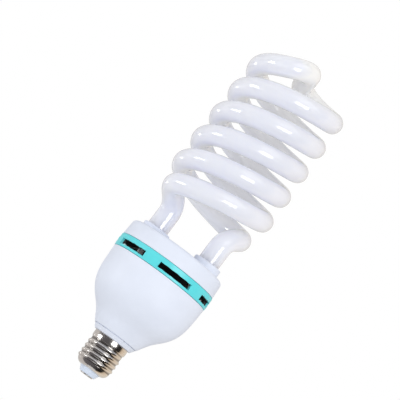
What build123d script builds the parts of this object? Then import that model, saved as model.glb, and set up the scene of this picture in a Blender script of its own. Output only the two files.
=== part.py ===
from build123d import *

import math
import os

# Spiral fluorescent lamp with a screw cap. Millimetres, +Z from the cap to the spiral.
# The origin is the outer face of the centre contact, on the lamp's axis.

# Fits and clearances
fit_gap = 0.05
lead_gap = 0.1
leg_gap = 0.3

# Screw cap
contact_radius = 4.75
contact_thickness = 0.7
contact_edge = 0.25
rivet_radius = 1.5
rivet_height = 8.5
rivet_bore_radius = 0.7
insulator_foot_radius = 5.75
insulator_rim_radius = 7.55
insulator_height = 4.4
insulator_flange_lap = 0.4
insulator_flange_height = 2.0
insulator_boss_radius = 3.2
insulator_boss_height = 1.2
shell_wall = 0.4
shell_rim_width = 0.6
shell_shoulder_height = 2.9
shell_shoulder_bulge = 0.8
thread_crest_radius = 13.15
thread_root_radius = 12.2
thread_pitch = 3.629
thread_turns = 3.4
thread_half_width = 1.62
thread_crest_share = 3.2
thread_base_depth = 0.2
skirt_radius = 12.9
skirt_flare = 0.7
shell_height = 24.6

# Lower housing
housing_wall = 2.0
neck_length = 10.0
neck_wall = 1.2
neck_ring_height = 3.45
neck_ring_radius = 14.45
neck_ring_flare = 2.2
bowl_rim_radius = 37.1
bowl_belly_inset = 0.6
bowl_shoulder_inset = 2.1
bowl_flank_inset = 7.2
bowl_waist_inset = 14.8
bowl_foot_radius = 17.0
bowl_waist_height = 8.45
bowl_flank_height = 17.05
bowl_shoulder_height = 26.85
bowl_belly_height = 37.05
bowl_height = 48.85
rib_width = 2.0
rib_height = 18.0
rib_seat = 2.6
nib_height = 1.0
nib_overlap = 0.7
rib_count = 4
rib_angle = 22.0

# Vent ring
ring_stand = 0.25
ring_wall = 1.5
ring_height = 9.6
ring_edge = 0.35
slot_count = 6
slot_arc = 41.0
slot_height = 4.1
slot_rise = 1.9
slot_angle = -78.0
inner_slot_arc = 44.0
key_width = 2.0
key_depth = 0.6

# Inner collar of the housing, which carries the ring and the cover
collar_wall = 1.5
collar_lap = 6.1
collar_root = 2.0
bead_height = 1.2
bead_depth = 0.45
bead_rise = 2.3
bead_arc = 24.0
bead_count = 4

# Top cover
cover_draft = 0.8
cover_height = 12.0
cover_wall = 2.0
cover_top_wall = 2.2
cover_edge = 2.6
socket_radius = 10.15
socket_wall = 1.1
socket_rise = 5.0
socket_drop = 6.6
socket_lip = 3.5
socket_edge = 0.6

# Glass spiral
tube_radius = 7.35
leg_radius = 7.8
leg_x = 20.5
leg_y = -9.0
leg_rise = 17.1
leg_drop = 8.0
leg_end_edge = 3.0
tip_radius = 2.2
tip_length = 8.0
helix_lead = 41.1
helix_turns = 2.514
helix_foot_radius = 33.6
helix_top_radius = 31.3
helix_foot_rise = 17.6
helix_start_angle = 40.0
elbow_rise_pull = 14.0
elbow_turn_pull = 16.0
crossing_rise = 7.7
crossing_half = 12.0
crossing_slope = 0.13
crossing_in_pull = 14.0
crossing_out_pull = 11.0

# Circuit board
board_gap = 0.7
board_thickness = 1.6
board_drop = 4.7
lead_side = 0.6
lead_tail = 1.2
standoff = 0.4
wire_radius = 0.65
pin_side = 1.0
pin_height = 8.0
pin_offset = 8.6
pin_spread = 4.0
filament_side = 0.5
filament_spread = 3.6
filament_drop = 4.4
filament_rise = 1.6
wire_rise = 8.0
wire_bare_end = 11.0

# Parts of the ballast, on the side of the board that faces the cap
bulk_radius = 8.0
bulk_length = 30.0
bulk_x = -1.5
bulk_y = 9.0
bulk_lead_pitch = 7.5
bulk_groove = 0.6
bulk_edge = 1.0
choke_x = 19.0
choke_width = 16.0
choke_length = 25.0
choke_height = 19.0
choke_limb = 3.6
choke_centre_limb = 7.0
choke_bobbin_wall = 1.0
choke_coil = 2.9
choke_coil_edge = 1.6
choke_rail_x = 6.8
choke_rail_width = 2.2
choke_lead_pitch = 10.0
film_x = -15.9
film_width = 7.0
film_length = 18.0
film_height = 13.0
film_edge = 0.8
film_lead_pitch = 15.0
transistor_inset = 8.0
transistor_y = 7.0
transistor_depth = 4.6
transistor_width = 10.0
transistor_body_height = 9.2
transistor_tab_wall = 1.3
transistor_tab_height = 6.3
transistor_hole_radius = 1.9
transistor_stand = 3.0
transistor_lead_pitch = 2.54
drum_x = -12.0
drum_y = 20.5
drum_radius = 5.0
drum_waist_radius = 2.4
drum_height = 13.0
drum_flange = 1.6
drum_coil_radius = 4.4
drum_lead_pitch = 6.0
toroid_x = -13.0
toroid_y = -19.5
toroid_radius = 5.0
toroid_bore_radius = 2.6
toroid_width = 4.4
toroid_coil_wall = 0.7
toroid_coil_arc = 46.0
toroid_coil_angles = (90.0, 210.0, 330.0)
axial_y = 23.0
axial_depth = 3.0
axial_pitch = 8.0
bridge_x = 0.4
bridge_width = 13.6
bridge_depth = 3.6
bridge_height = 10.3
bridge_corner = 0.9
bridge_lead_pitch = 3.8
fuse_x = 9.4
fuse_radius = 1.8
fuse_length = 7.0
fuse_pitch = 10.4
diac_x = -5.0
diac_radius = 1.0
diac_length = 3.4
resistor_xs = (-1.4, 2.0)
resistor_radius = 1.2
resistor_length = 5.0
thermistor_x = 8.0
thermistor_radius = 3.6
thermistor_width = 2.6
thermistor_pitch = 5.0

# Levels along the axis, each one standing on the last
shell_foot_z = insulator_height
shell_top_z = shell_foot_z + shell_height
bowl_foot_z = shell_top_z + neck_ring_height
bowl_top_z = bowl_foot_z + bowl_height
cover_foot_z = bowl_top_z + ring_height
cover_top_z = cover_foot_z + cover_height
leg_foot_z = cover_top_z - leg_drop
elbow_z = cover_top_z + leg_rise
helix_foot_z = elbow_z + helix_foot_rise
helix_height = helix_lead * helix_turns
crossing_z = helix_foot_z + helix_height + crossing_rise
board_z = bowl_top_z - board_drop - board_thickness
board_top_z = board_z + board_thickness

# Radii and places that follow from the ones above
bowl_belly_radius = bowl_rim_radius - bowl_belly_inset
bowl_shoulder_radius = bowl_rim_radius - bowl_shoulder_inset
bowl_flank_radius = bowl_rim_radius - bowl_flank_inset
bowl_waist_radius = bowl_rim_radius - bowl_waist_inset
ring_radius = bowl_rim_radius + ring_stand
cover_foot_radius = bowl_rim_radius
cover_top_radius = cover_foot_radius - cover_draft
collar_radius = ring_radius - ring_wall - fit_gap
collar_bore = collar_radius - collar_wall
cover_bore = collar_radius + fit_gap
board_radius = collar_bore - board_gap
rib_inner_radius = board_radius - rib_seat
transistor_x = transistor_inset - board_radius
socket_bore = socket_radius - socket_wall
neck_radius = skirt_radius - shell_wall - fit_gap
neck_tip_radius = thread_root_radius - shell_wall - fit_gap
neck_bore = neck_tip_radius - neck_wall
shell_mouth_radius = insulator_rim_radius + fit_gap
shell_rim_radius = shell_mouth_radius + shell_rim_width


def radial_plane(angle):
    """Upright plane through the axis: local X points outwards at the angle, local Y is up."""
    turn = math.radians(angle)
    outwards = (math.cos(turn), math.sin(turn), 0)
    return Plane(origin=(0, 0, 0), x_dir=outwards, z_dir=(math.sin(turn), -math.cos(turn), 0))


def write(piece, name):
    """Label a finished piece and write it under its own name."""
    piece.part.label = name
    export_step(piece.part, f"parts/{name}.step")


os.makedirs("parts", exist_ok=True)

# Centre contact: a domed disc with a hollow rivet that holds the supply wire
with BuildPart() as centre_contact:
    with BuildSketch(Plane.XY):
        Circle(contact_radius)
    extrude(amount=contact_thickness)
    chamfer(centre_contact.edges().group_by(Axis.Z)[0], contact_edge)
    with BuildSketch(Plane.XY.offset(contact_thickness)):
        Circle(rivet_radius)
    extrude(amount=rivet_height)
    with BuildSketch(Plane.XY.offset(contact_thickness)):
        Circle(rivet_bore_radius)
    extrude(amount=rivet_height, mode=Mode.SUBTRACT)
write(centre_contact, "centre_contact")

# Base insulator: a cone under the shell, with a flange inside the shell's turned-in rim
flange_radius = shell_mouth_radius + insulator_flange_lap
flange_foot_z = shell_foot_z + shell_wall
flange_top_z = flange_foot_z + insulator_flange_height
with BuildPart() as base_insulator:
    with BuildSketch(Plane.XZ):
        Polygon(
            (rivet_radius + fit_gap, contact_thickness),
            (insulator_foot_radius, contact_thickness),
            (insulator_rim_radius, shell_foot_z),
            (insulator_rim_radius, flange_foot_z),
            (flange_radius, flange_foot_z),
            (flange_radius, flange_top_z),
            (insulator_boss_radius, flange_top_z),
            (insulator_boss_radius, flange_top_z + insulator_boss_height),
            (rivet_radius + fit_gap, flange_top_z + insulator_boss_height),
            align=None,
        )
    revolve(axis=Axis.Z)
write(base_insulator, "base_insulator")


def thread_ridge(inset):
    """Ridge of the thread, its base inside the shell's wall, moved inwards by the inset."""
    path = Helix(
        pitch=thread_pitch,
        height=thread_pitch * thread_turns,
        radius=thread_crest_radius - inset,
        center=(0, 0, thread_foot_z + thread_half_width + shell_wall),
    )
    base = thread_root_radius - thread_crest_radius - thread_base_depth
    half = thread_half_width - inset / 2
    crest = half / thread_crest_share
    start = path @ 0
    with BuildSketch(Plane(origin=start, x_dir=(start.X, start.Y, 0), z_dir=path % 0)) as section:
        with BuildLine():
            Polyline((base, -half), (0, -crest), (0, crest), (base, half), close=True)
        make_face()
    with BuildPart() as ridge:
        sweep(sections=section.sketch, path=path, is_frenet=True)
    return ridge.part


# Screw shell: thin drawn sheet with a shoulder, a rolled knuckle thread and a plain skirt
thread_foot_z = shell_foot_z + shell_shoulder_height
thread_top_z = thread_foot_z + thread_turns * thread_pitch + 2 * (thread_half_width + shell_wall)
skirt_foot_z = thread_top_z + skirt_flare
thread_bore = thread_root_radius - shell_wall
thread_crest = thread_ridge(0)
thread_groove = thread_ridge(shell_wall)
with BuildPart() as screw_shell:
    with BuildSketch(Plane.XY.offset(thread_foot_z)):
        Circle(thread_root_radius)
    extrude(amount=thread_top_z - thread_foot_z)
    add(thread_crest)
    with BuildSketch(Plane.XY.offset(thread_foot_z)):
        Circle(thread_bore)
    extrude(amount=thread_top_z - thread_foot_z, mode=Mode.SUBTRACT)
    add(thread_groove, mode=Mode.SUBTRACT)
    with BuildSketch(Plane.XZ):
        with BuildLine():
            Line((shell_mouth_radius, shell_foot_z), (shell_rim_radius, shell_foot_z))
            SagittaArc(
                (shell_rim_radius, shell_foot_z), (thread_root_radius, thread_foot_z), -shell_shoulder_bulge
            )
            Line((thread_root_radius, thread_foot_z), (thread_bore, thread_foot_z))
            SagittaArc(
                (thread_bore, thread_foot_z),
                (shell_rim_radius, shell_foot_z + shell_wall),
                shell_shoulder_bulge,
            )
            Line((shell_rim_radius, shell_foot_z + shell_wall), (shell_mouth_radius, shell_foot_z + shell_wall))
            Line((shell_mouth_radius, shell_foot_z + shell_wall), (shell_mouth_radius, shell_foot_z))
        make_face()
    revolve(axis=Axis.Z)
    with BuildSketch(Plane.XZ):
        Polygon(
            (thread_bore, thread_top_z),
            (thread_root_radius, thread_top_z),
            (skirt_radius, skirt_foot_z),
            (skirt_radius, shell_top_z),
            (skirt_radius - shell_wall, shell_top_z),
            (skirt_radius - shell_wall, skirt_foot_z),
            align=None,
        )
    revolve(axis=Axis.Z)
write(screw_shell, "screw_shell")

# Lower housing: the wall's outer line, and the same line moved inwards by the wall
bowl_points = (
    (bowl_foot_radius, bowl_foot_z),
    (bowl_waist_radius, bowl_foot_z + bowl_waist_height),
    (bowl_flank_radius, bowl_foot_z + bowl_flank_height),
    (bowl_shoulder_radius, bowl_foot_z + bowl_shoulder_height),
    (bowl_belly_radius, bowl_foot_z + bowl_belly_height),
    (bowl_rim_radius, bowl_top_z),
)


def bowl_curve():
    """Outer line of the bowl, a concave flare from the neck that turns into a convex belly."""
    return Spline(*bowl_points, tangents=((1, 1.5), (0.05, 1)))


def wall_inside(curve, wall, stations):
    """Points at the wall's thickness inside a curve that runs upwards, on its left."""
    points = []
    for station in range(stations + 1):
        at = station / stations
        spot = curve @ at
        along = curve % at
        points.append((spot.X - wall * along.Y, spot.Y + wall * along.X))
    return points


with BuildLine() as bowl_outside:
    bowl_curve()
bowl_inside = wall_inside(bowl_outside.line, housing_wall, 8)
neck_foot_z = shell_top_z - neck_length
neck_shoulder_z = skirt_foot_z + fit_gap
collar_top_z = cover_foot_z + collar_lap


def slot_cutter(arc, inner, outer, foot_z, height):
    """Sector of a ring that cuts one vent slot."""
    with BuildPart() as cutter:
        with BuildSketch(radial_plane(-arc / 2)):
            with Locations(((inner + outer) / 2, foot_z + height / 2)):
                Rectangle(outer - inner, height)
        revolve(axis=Axis.Z, revolution_arc=arc)
    return cutter.part


slot_foot_z = bowl_top_z + slot_rise
ring_slot = slot_cutter(slot_arc, collar_bore, ring_radius + 1, slot_foot_z, slot_height)
collar_slot = slot_cutter(inner_slot_arc, collar_bore - 1, ring_radius, slot_foot_z, slot_height)
slot_angles = [slot_angle + 360 * number / slot_count for number in range(slot_count)]
key_angle = slot_angle + 180 / slot_count
rib_angles = [rib_angle + 360 * number / rib_count for number in range(rib_count)]
bead_z = cover_foot_z + bead_rise
rib_foot_z = board_z - rib_height

with BuildPart() as lower_housing:
    with BuildSketch(Plane.XZ):
        with BuildLine():
            Line((neck_radius, shell_top_z), (neck_ring_radius, shell_top_z))
            Line((neck_ring_radius, shell_top_z), (neck_ring_radius + neck_ring_flare, bowl_foot_z))
            Line((neck_ring_radius + neck_ring_flare, bowl_foot_z), bowl_points[0])
            bowl_curve()
            Line(bowl_points[-1], (collar_radius, bowl_top_z))
            Line((collar_radius, bowl_top_z), (collar_radius, collar_top_z))
            Line((collar_radius, collar_top_z), (collar_bore, collar_top_z))
            Line((collar_bore, collar_top_z), (collar_bore, bowl_top_z - collar_root))
            Line((collar_bore, bowl_top_z - collar_root), bowl_inside[-1])
            Spline(*bowl_inside[::-1])
            Line(bowl_inside[0], (neck_bore, bowl_foot_z))
            Line((neck_bore, bowl_foot_z), (neck_bore, neck_foot_z))
            Line((neck_bore, neck_foot_z), (neck_tip_radius, neck_foot_z))
            Line((neck_tip_radius, neck_foot_z), (neck_tip_radius, neck_shoulder_z))
            Line((neck_tip_radius, neck_shoulder_z), (neck_radius, neck_shoulder_z))
            Line((neck_radius, neck_shoulder_z), (neck_radius, shell_top_z))
        make_face()
    revolve(axis=Axis.Z)
    for angle in rib_angles:
        with BuildSketch(radial_plane(angle)):
            Polygon(
                (rib_inner_radius, rib_foot_z),
                (bowl_shoulder_radius - housing_wall / 2, rib_foot_z),
                (bowl_belly_radius - housing_wall / 2, board_z),
                (rib_inner_radius, board_z),
                align=None,
            )
        extrude(amount=rib_width / 2, both=True)
        with BuildSketch(radial_plane(angle)):
            Polygon(
                (board_radius - nib_overlap, board_top_z),
                (collar_bore + collar_wall / 2, board_top_z),
                (collar_bore + collar_wall / 2, board_top_z + 2 * nib_height),
                (board_radius - nib_overlap, board_top_z + nib_height),
                align=None,
            )
        extrude(amount=rib_width / 2, both=True)
    for angle in slot_angles:
        add(collar_slot.rotate(Axis.Z, angle), mode=Mode.SUBTRACT)
    for number in range(bead_count):
        with BuildSketch(radial_plane(rib_angle + 360 * number / bead_count - bead_arc / 2)):
            Polygon(
                (collar_radius - bead_depth, bead_z - bead_height / 2),
                (collar_radius + bead_depth - fit_gap, bead_z),
                (collar_radius - bead_depth, bead_z + bead_height / 2),
                align=None,
            )
        revolve(axis=Axis.Z, revolution_arc=bead_arc)
    with BuildSketch(radial_plane(key_angle)):
        with Locations((collar_radius, bowl_top_z + ring_height / 2)):
            Rectangle(2 * key_depth, ring_height)
    extrude(amount=key_width / 2, both=True)
write(lower_housing, "lower_housing")

# Vent ring: a coloured band with six slots, keyed so that they face the collar's slots
with BuildPart() as vent_ring:
    with BuildSketch(Plane.XZ) as ring_section:
        with Locations((ring_radius - ring_wall / 2, bowl_top_z + ring_height / 2)):
            Rectangle(ring_wall, ring_height)
        chamfer(ring_section.vertices().group_by(Axis.X)[-1], ring_edge)
    revolve(axis=Axis.Z)
    for angle in slot_angles:
        add(ring_slot.rotate(Axis.Z, angle), mode=Mode.SUBTRACT)
    with BuildSketch(radial_plane(key_angle)):
        with Locations((collar_radius, bowl_top_z + ring_height / 2)):
            Rectangle(2 * (key_depth + fit_gap), ring_height)
    extrude(amount=key_width / 2 + fit_gap, both=True, mode=Mode.SUBTRACT)
write(vent_ring, "vent_ring")

# Places of the two legs of the spiral, opposite each other
leg_spots = [(leg_x, leg_y), (-leg_x, -leg_y)]

# Top cover: a shallow cap over the collar, with a socket round each leg of the glass
socket_foot_z = cover_top_z - socket_drop
socket_top_z = cover_top_z + socket_rise
with BuildPart() as top_cover:
    with BuildSketch(Plane.XZ) as cover_section:
        Polygon(
            (0, cover_foot_z),
            (cover_foot_radius, cover_foot_z),
            (cover_top_radius, cover_top_z),
            (0, cover_top_z),
            align=None,
        )
        fillet(cover_section.vertices().group_by(Axis.Y)[-1].sort_by(Axis.X)[-1], cover_edge)
    revolve(axis=Axis.Z)
    with BuildSketch(Plane.XY.offset(cover_foot_z)):
        Circle(cover_bore)
    extrude(amount=collar_lap, mode=Mode.SUBTRACT)
    with BuildSketch(Plane.XY.offset(collar_top_z)):
        Circle(cover_top_radius - cover_wall)
    extrude(amount=cover_top_z - cover_top_wall - collar_top_z, mode=Mode.SUBTRACT)
    with BuildSketch(Plane.XZ):
        Polygon(
            (cover_bore - bead_depth, bead_z - bead_height / 2 - bead_depth),
            (cover_bore + bead_depth, bead_z),
            (cover_bore - bead_depth, bead_z + bead_height / 2 + bead_depth),
            align=None,
        )
    revolve(axis=Axis.Z, mode=Mode.SUBTRACT)
    with BuildSketch(Plane.XY.offset(socket_foot_z)):
        with Locations(*leg_spots):
            Circle(socket_radius)
    extrude(amount=socket_top_z - socket_foot_z)
    chamfer(top_cover.edges().group_by(Axis.Z)[-1], socket_edge)
    with BuildSketch(Plane.XY.offset(socket_foot_z)):
        with Locations(*leg_spots):
            Circle(socket_bore)
    extrude(amount=socket_top_z - socket_lip - socket_foot_z, mode=Mode.SUBTRACT)
    with BuildSketch(Plane.XY.offset(socket_foot_z)):
        with Locations(*leg_spots):
            Circle(leg_radius + leg_gap)
    extrude(amount=socket_top_z - socket_foot_z, mode=Mode.SUBTRACT)
write(top_cover, "top_cover")

# Glass spiral: the centreline of one arm, from the top of its straight leg to the crossing
taper = math.degrees(math.atan((helix_top_radius - helix_foot_radius) / helix_height))
coil = Helix(
    pitch=helix_lead,
    height=helix_height,
    radius=helix_foot_radius,
    center=(0, 0, helix_foot_z),
    cone_angle=taper,
).rotate(Axis.Z, helix_start_angle)
other_coil = coil.rotate(Axis.Z, 180)
leg_top = Vector(leg_x, leg_y, elbow_z)
elbow = Bezier(
    leg_top,
    leg_top + Vector(0, 0, elbow_rise_pull),
    coil @ 0 - (coil % 0) * elbow_turn_pull,
    coil @ 0,
)
crossing_middle = Vector(0, 0, crossing_z)
crossing_way = Vector(0, 1, -crossing_slope).normalized()
crossing_front = crossing_middle - crossing_way * crossing_half
crossing_back = crossing_middle + crossing_way * crossing_half
front_bend = Bezier(
    coil @ 1,
    coil @ 1 + (coil % 1) * crossing_in_pull,
    crossing_front - crossing_way * crossing_out_pull,
    crossing_front,
)
back_bend = Bezier(
    crossing_back,
    crossing_back + crossing_way * crossing_out_pull,
    other_coil @ 1 + (other_coil % 1) * crossing_in_pull,
    other_coil @ 1,
)


def tube_run(path, start_radius, end_radius):
    """Round run of the tube along one stretch of its centreline, which may taper."""
    with BuildPart() as run:
        with BuildSketch(Plane(origin=path @ 0, z_dir=path % 0)):
            Circle(start_radius)
        if start_radius != end_radius:
            with BuildSketch(Plane(origin=path @ 1, z_dir=path % 1)):
                Circle(end_radius)
        sweep(path=path, multisection=start_radius != end_radius)
    return run.part


with BuildPart() as spiral_tube:
    with BuildSketch(Plane(origin=(leg_x, leg_y, 0), x_dir=(1, 0, 0), z_dir=(0, -1, 0))) as leg_section:
        Polygon(
            (0, leg_foot_z),
            (leg_radius, leg_foot_z),
            (leg_radius, elbow_z),
            (0, elbow_z),
            align=None,
        )
        chamfer(leg_section.vertices().group_by(Axis.Y)[0].sort_by(Axis.X)[-1], leg_end_edge)
    revolve(axis=Axis((leg_x, leg_y, 0), (0, 0, 1)))
    with BuildSketch(Plane.XY.offset(leg_foot_z - tip_length)):
        with Locations((leg_x, leg_y)):
            Circle(tip_radius)
    extrude(amount=tip_length)
    chamfer(spiral_tube.edges().group_by(Axis.Z)[0], tip_radius / 2)
    add(tube_run(elbow, leg_radius, tube_radius))
    add(spiral_tube.part.rotate(Axis.Z, 180))
    add(tube_run(coil, tube_radius, tube_radius))
    add(tube_run(other_coil, tube_radius, tube_radius))
    add(tube_run(front_bend, tube_radius, tube_radius))
    add(tube_run(Line(crossing_front, crossing_back), tube_radius, tube_radius))
    add(tube_run(back_bend, tube_radius, tube_radius))
write(spiral_tube, "spiral_tube")

# Cement that bonds each leg of the glass into its socket
socket_lip_z = socket_top_z - socket_lip
for number, spot in enumerate(leg_spots, start=1):
    with BuildPart() as tube_cement:
        with BuildSketch(Plane.XY.offset(socket_foot_z)):
            with Locations(spot):
                Circle(socket_bore)
                Circle(leg_radius, mode=Mode.SUBTRACT)
        extrude(amount=socket_lip_z - socket_foot_z)
    write(tube_cement, f"tube_cement_{number}")

# Places of the wrap pins, a pair beside each leg, and of every lead that passes the board
pin_spots = [
    (side * (leg_x + pin_offset), side * (leg_y + way * pin_spread))
    for side in (1, -1)
    for way in (1, -1)
]
bulk_spots = [(bulk_x, bulk_y), (bulk_x, -bulk_y)]
bulk_leads = [(x, y + way * bulk_lead_pitch / 2) for x, y in bulk_spots for way in (1, -1)]
choke_leads = [
    (choke_x + way * choke_rail_x, side * choke_lead_pitch / 2) for way in (1, -1) for side in (1, -1)
]
film_leads = [(film_x, way * film_lead_pitch / 2) for way in (1, -1)]
transistor_spots = [(transistor_x, transistor_y), (transistor_x, -transistor_y)]
transistor_leads = [
    (x, y + way * transistor_lead_pitch) for x, y in transistor_spots for way in (-1, 0, 1)
]
drum_leads = [(drum_x + way * drum_lead_pitch / 2, drum_y) for way in (1, -1)]
bridge_leads = [(bridge_x + step * bridge_lead_pitch, axial_y) for step in (-1.5, -0.5, 0.5, 1.5)]
axial_parts = [
    (fuse_x, axial_y, fuse_pitch),
    (diac_x, -axial_y, axial_pitch),
    *[(x, -axial_y, axial_pitch) for x in resistor_xs],
    (thermistor_x, -axial_y, thermistor_pitch),
]
axial_leads = [(x, y + way * pitch / 2) for x, y, pitch in axial_parts for way in (1, -1)]
toroid_leads = [(toroid_x + way * toroid_radius / 4, toroid_y) for way in (1, -1)]
lead_spots = [
    *bulk_leads,
    *choke_leads,
    *film_leads,
    *transistor_leads,
    *drum_leads,
    *bridge_leads,
    *axial_leads,
    *toroid_leads,
]
middle_wire_x = (bulk_x + bulk_radius + choke_x - choke_width / 2) / 2
side_wire_x = film_x + film_width / 2 + 1.5 * wire_radius
wire_spots = [(middle_wire_x, 0), (side_wire_x, 0)]

# Circuit board: a disc on the housing's ribs, punched for every lead and pin and drilled for the wires
with BuildPart() as circuit_board:
    with BuildSketch(Plane.XY.offset(board_z)):
        Circle(board_radius)
        with Locations(*lead_spots):
            Rectangle(lead_side + 2 * lead_gap, lead_side + 2 * lead_gap, mode=Mode.SUBTRACT)
        with Locations(*pin_spots):
            Rectangle(pin_side + 2 * lead_gap, pin_side + 2 * lead_gap, mode=Mode.SUBTRACT)
        with Locations(*wire_spots):
            Circle(wire_radius + lead_gap, mode=Mode.SUBTRACT)
    extrude(amount=board_thickness)
write(circuit_board, "circuit_board")


def straight_leads(spots, foot_z):
    """Square leads that run straight up from a part, through the board and a little past it."""
    with BuildPart() as leads:
        with BuildSketch(Plane.XY.offset(foot_z)):
            with Locations(*spots):
                Rectangle(lead_side, lead_side)
        extrude(amount=board_top_z + lead_tail - foot_z)
    return leads.part


# Bulk capacitors: cans with a crimped groove near the sealed end, hanging from the board
bulk_top_z = board_z - standoff
for number, spot in enumerate(bulk_spots, start=1):
    with BuildPart() as bulk_capacitor:
        with BuildSketch(Plane.XY.offset(bulk_top_z)):
            with Locations(spot):
                Circle(bulk_radius)
        extrude(amount=-bulk_length)
        chamfer(bulk_capacitor.edges().filter_by(GeomType.CIRCLE), bulk_edge)
        groove_z = bulk_top_z - 4 * bulk_groove - bulk_edge
        with BuildSketch(Plane.XY.offset(groove_z)):
            with Locations(spot):
                Circle(bulk_radius + bulk_groove)
                Circle(bulk_radius - bulk_groove, mode=Mode.SUBTRACT)
        extrude(amount=2 * bulk_groove, mode=Mode.SUBTRACT)
        add(straight_leads(bulk_leads[2 * number - 2 : 2 * number], bulk_top_z))
    write(bulk_capacitor, f"bulk_capacitor_{number}")

# Ballast choke: a two-part ferrite core, a bobbin on its middle limb and the coil on the bobbin
choke_top_z = board_z - standoff
choke_foot_z = choke_top_z - choke_height
choke_window = (choke_length - choke_centre_limb - 2 * choke_limb) / 2
choke_window_height = choke_height - 2 * choke_limb
with BuildPart() as choke_core:
    with BuildSketch(Plane.YZ.offset(choke_x)):
        with Locations((0, choke_foot_z + choke_height / 2)):
            Rectangle(choke_length, choke_height)
        for way in (1, -1):
            with Locations((way * (choke_centre_limb + choke_window) / 2, choke_foot_z + choke_height / 2)):
                Rectangle(choke_window, choke_window_height, mode=Mode.SUBTRACT)
    extrude(amount=choke_centre_limb / 2, both=True)
write(choke_core, "choke_core")

bobbin_bore = choke_centre_limb + 2 * fit_gap
bobbin_side = bobbin_bore + 2 * choke_bobbin_wall
bobbin_foot_z = choke_foot_z + choke_limb + fit_gap
bobbin_height = choke_window_height - 2 * fit_gap
bobbin_top_z = bobbin_foot_z + bobbin_height
coil_side = bobbin_side + 2 * choke_coil
with BuildPart() as choke_bobbin:
    with BuildSketch(Plane.XY.offset(bobbin_foot_z)):
        with Locations((choke_x, 0)):
            Rectangle(bobbin_side, bobbin_side)
    extrude(amount=bobbin_height)
    for flange_z in (bobbin_foot_z, bobbin_top_z - choke_bobbin_wall):
        with BuildSketch(Plane.XY.offset(flange_z)):
            with Locations((choke_x, 0)):
                Rectangle(choke_width, coil_side)
        extrude(amount=choke_bobbin_wall)
    with BuildSketch(Plane.XY.offset(bobbin_top_z - choke_bobbin_wall)):
        with Locations((choke_x + choke_rail_x, 0), (choke_x - choke_rail_x, 0)):
            Rectangle(choke_rail_width, coil_side - 2 * choke_bobbin_wall)
    extrude(amount=choke_top_z - bobbin_top_z + choke_bobbin_wall)
    with BuildSketch(Plane.XY.offset(bobbin_foot_z)):
        with Locations((choke_x, 0)):
            Rectangle(bobbin_bore, bobbin_bore)
    extrude(amount=bobbin_height, mode=Mode.SUBTRACT)
    add(straight_leads(choke_leads, choke_top_z))
write(choke_bobbin, "choke_bobbin")

with BuildPart() as choke_winding:
    with BuildSketch(Plane.XY.offset(bobbin_foot_z + choke_bobbin_wall)):
        with Locations((choke_x, 0)):
            RectangleRounded(coil_side, coil_side, choke_coil_edge)
            Rectangle(bobbin_side, bobbin_side, mode=Mode.SUBTRACT)
    extrude(amount=bobbin_height - 2 * choke_bobbin_wall)
write(choke_winding, "choke_winding")

# Film capacitor across the lamp
with BuildPart() as film_capacitor:
    with BuildSketch(Plane.XY.offset(choke_top_z)):
        with Locations((film_x, 0)):
            Rectangle(film_width, film_length)
    extrude(amount=-film_height)
    chamfer(film_capacitor.edges().filter_by(Axis.Z), film_edge)
    add(straight_leads(film_leads, choke_top_z - film_edge))
write(film_capacitor, "film_capacitor")

# Power transistors: a moulded body with a holed metal tab below it and three leads above
transistor_top_z = board_z - transistor_stand
for number, spot in enumerate(transistor_spots, start=1):
    with BuildPart() as transistor:
        with BuildSketch(Plane.XY.offset(transistor_top_z)):
            with Locations(spot):
                Rectangle(transistor_depth, transistor_width)
        extrude(amount=-transistor_body_height)
        with BuildSketch(Plane.YZ.offset(transistor_x - transistor_depth / 2)):
            with Locations((spot[1], transistor_top_z - transistor_body_height - transistor_tab_height / 2)):
                Rectangle(transistor_width, transistor_tab_height)
                Circle(transistor_hole_radius, mode=Mode.SUBTRACT)
        extrude(amount=transistor_tab_wall)
        add(straight_leads(transistor_leads[3 * number - 3 : 3 * number], transistor_top_z))
    write(transistor, f"transistor_{number}")

# Filter choke: a drum of ferrite with a coil round its waist
drum_foot_z = choke_top_z - drum_height
with BuildPart() as filter_choke_core:
    for foot_z, radius, height in (
        (drum_foot_z, drum_radius, drum_flange),
        (drum_foot_z, drum_waist_radius, drum_height),
        (choke_top_z - drum_flange, drum_radius, drum_flange),
    ):
        with BuildSketch(Plane.XY.offset(foot_z)):
            with Locations((drum_x, drum_y)):
                Circle(radius)
        extrude(amount=height)
    add(straight_leads(drum_leads, choke_top_z))
write(filter_choke_core, "filter_choke_core")

with BuildPart() as filter_choke_winding:
    with BuildSketch(Plane.XY.offset(drum_foot_z + drum_flange)):
        with Locations((drum_x, drum_y)):
            Circle(drum_coil_radius)
            Circle(drum_waist_radius, mode=Mode.SUBTRACT)
    extrude(amount=drum_height - 2 * drum_flange)
write(filter_choke_winding, "filter_choke_winding")

# Drive transformer: a small ferrite ring on edge, with three short windings round its section
toroid_z = board_z - standoff - toroid_radius - toroid_coil_wall
with BuildPart() as drive_ring_core:
    with BuildSketch(Plane(origin=(toroid_x, toroid_y, toroid_z), x_dir=(1, 0, 0), z_dir=(0, 1, 0))):
        Circle(toroid_radius)
        Circle(toroid_bore_radius, mode=Mode.SUBTRACT)
    extrude(amount=toroid_width / 2, both=True)
write(drive_ring_core, "drive_ring_core")

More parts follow.
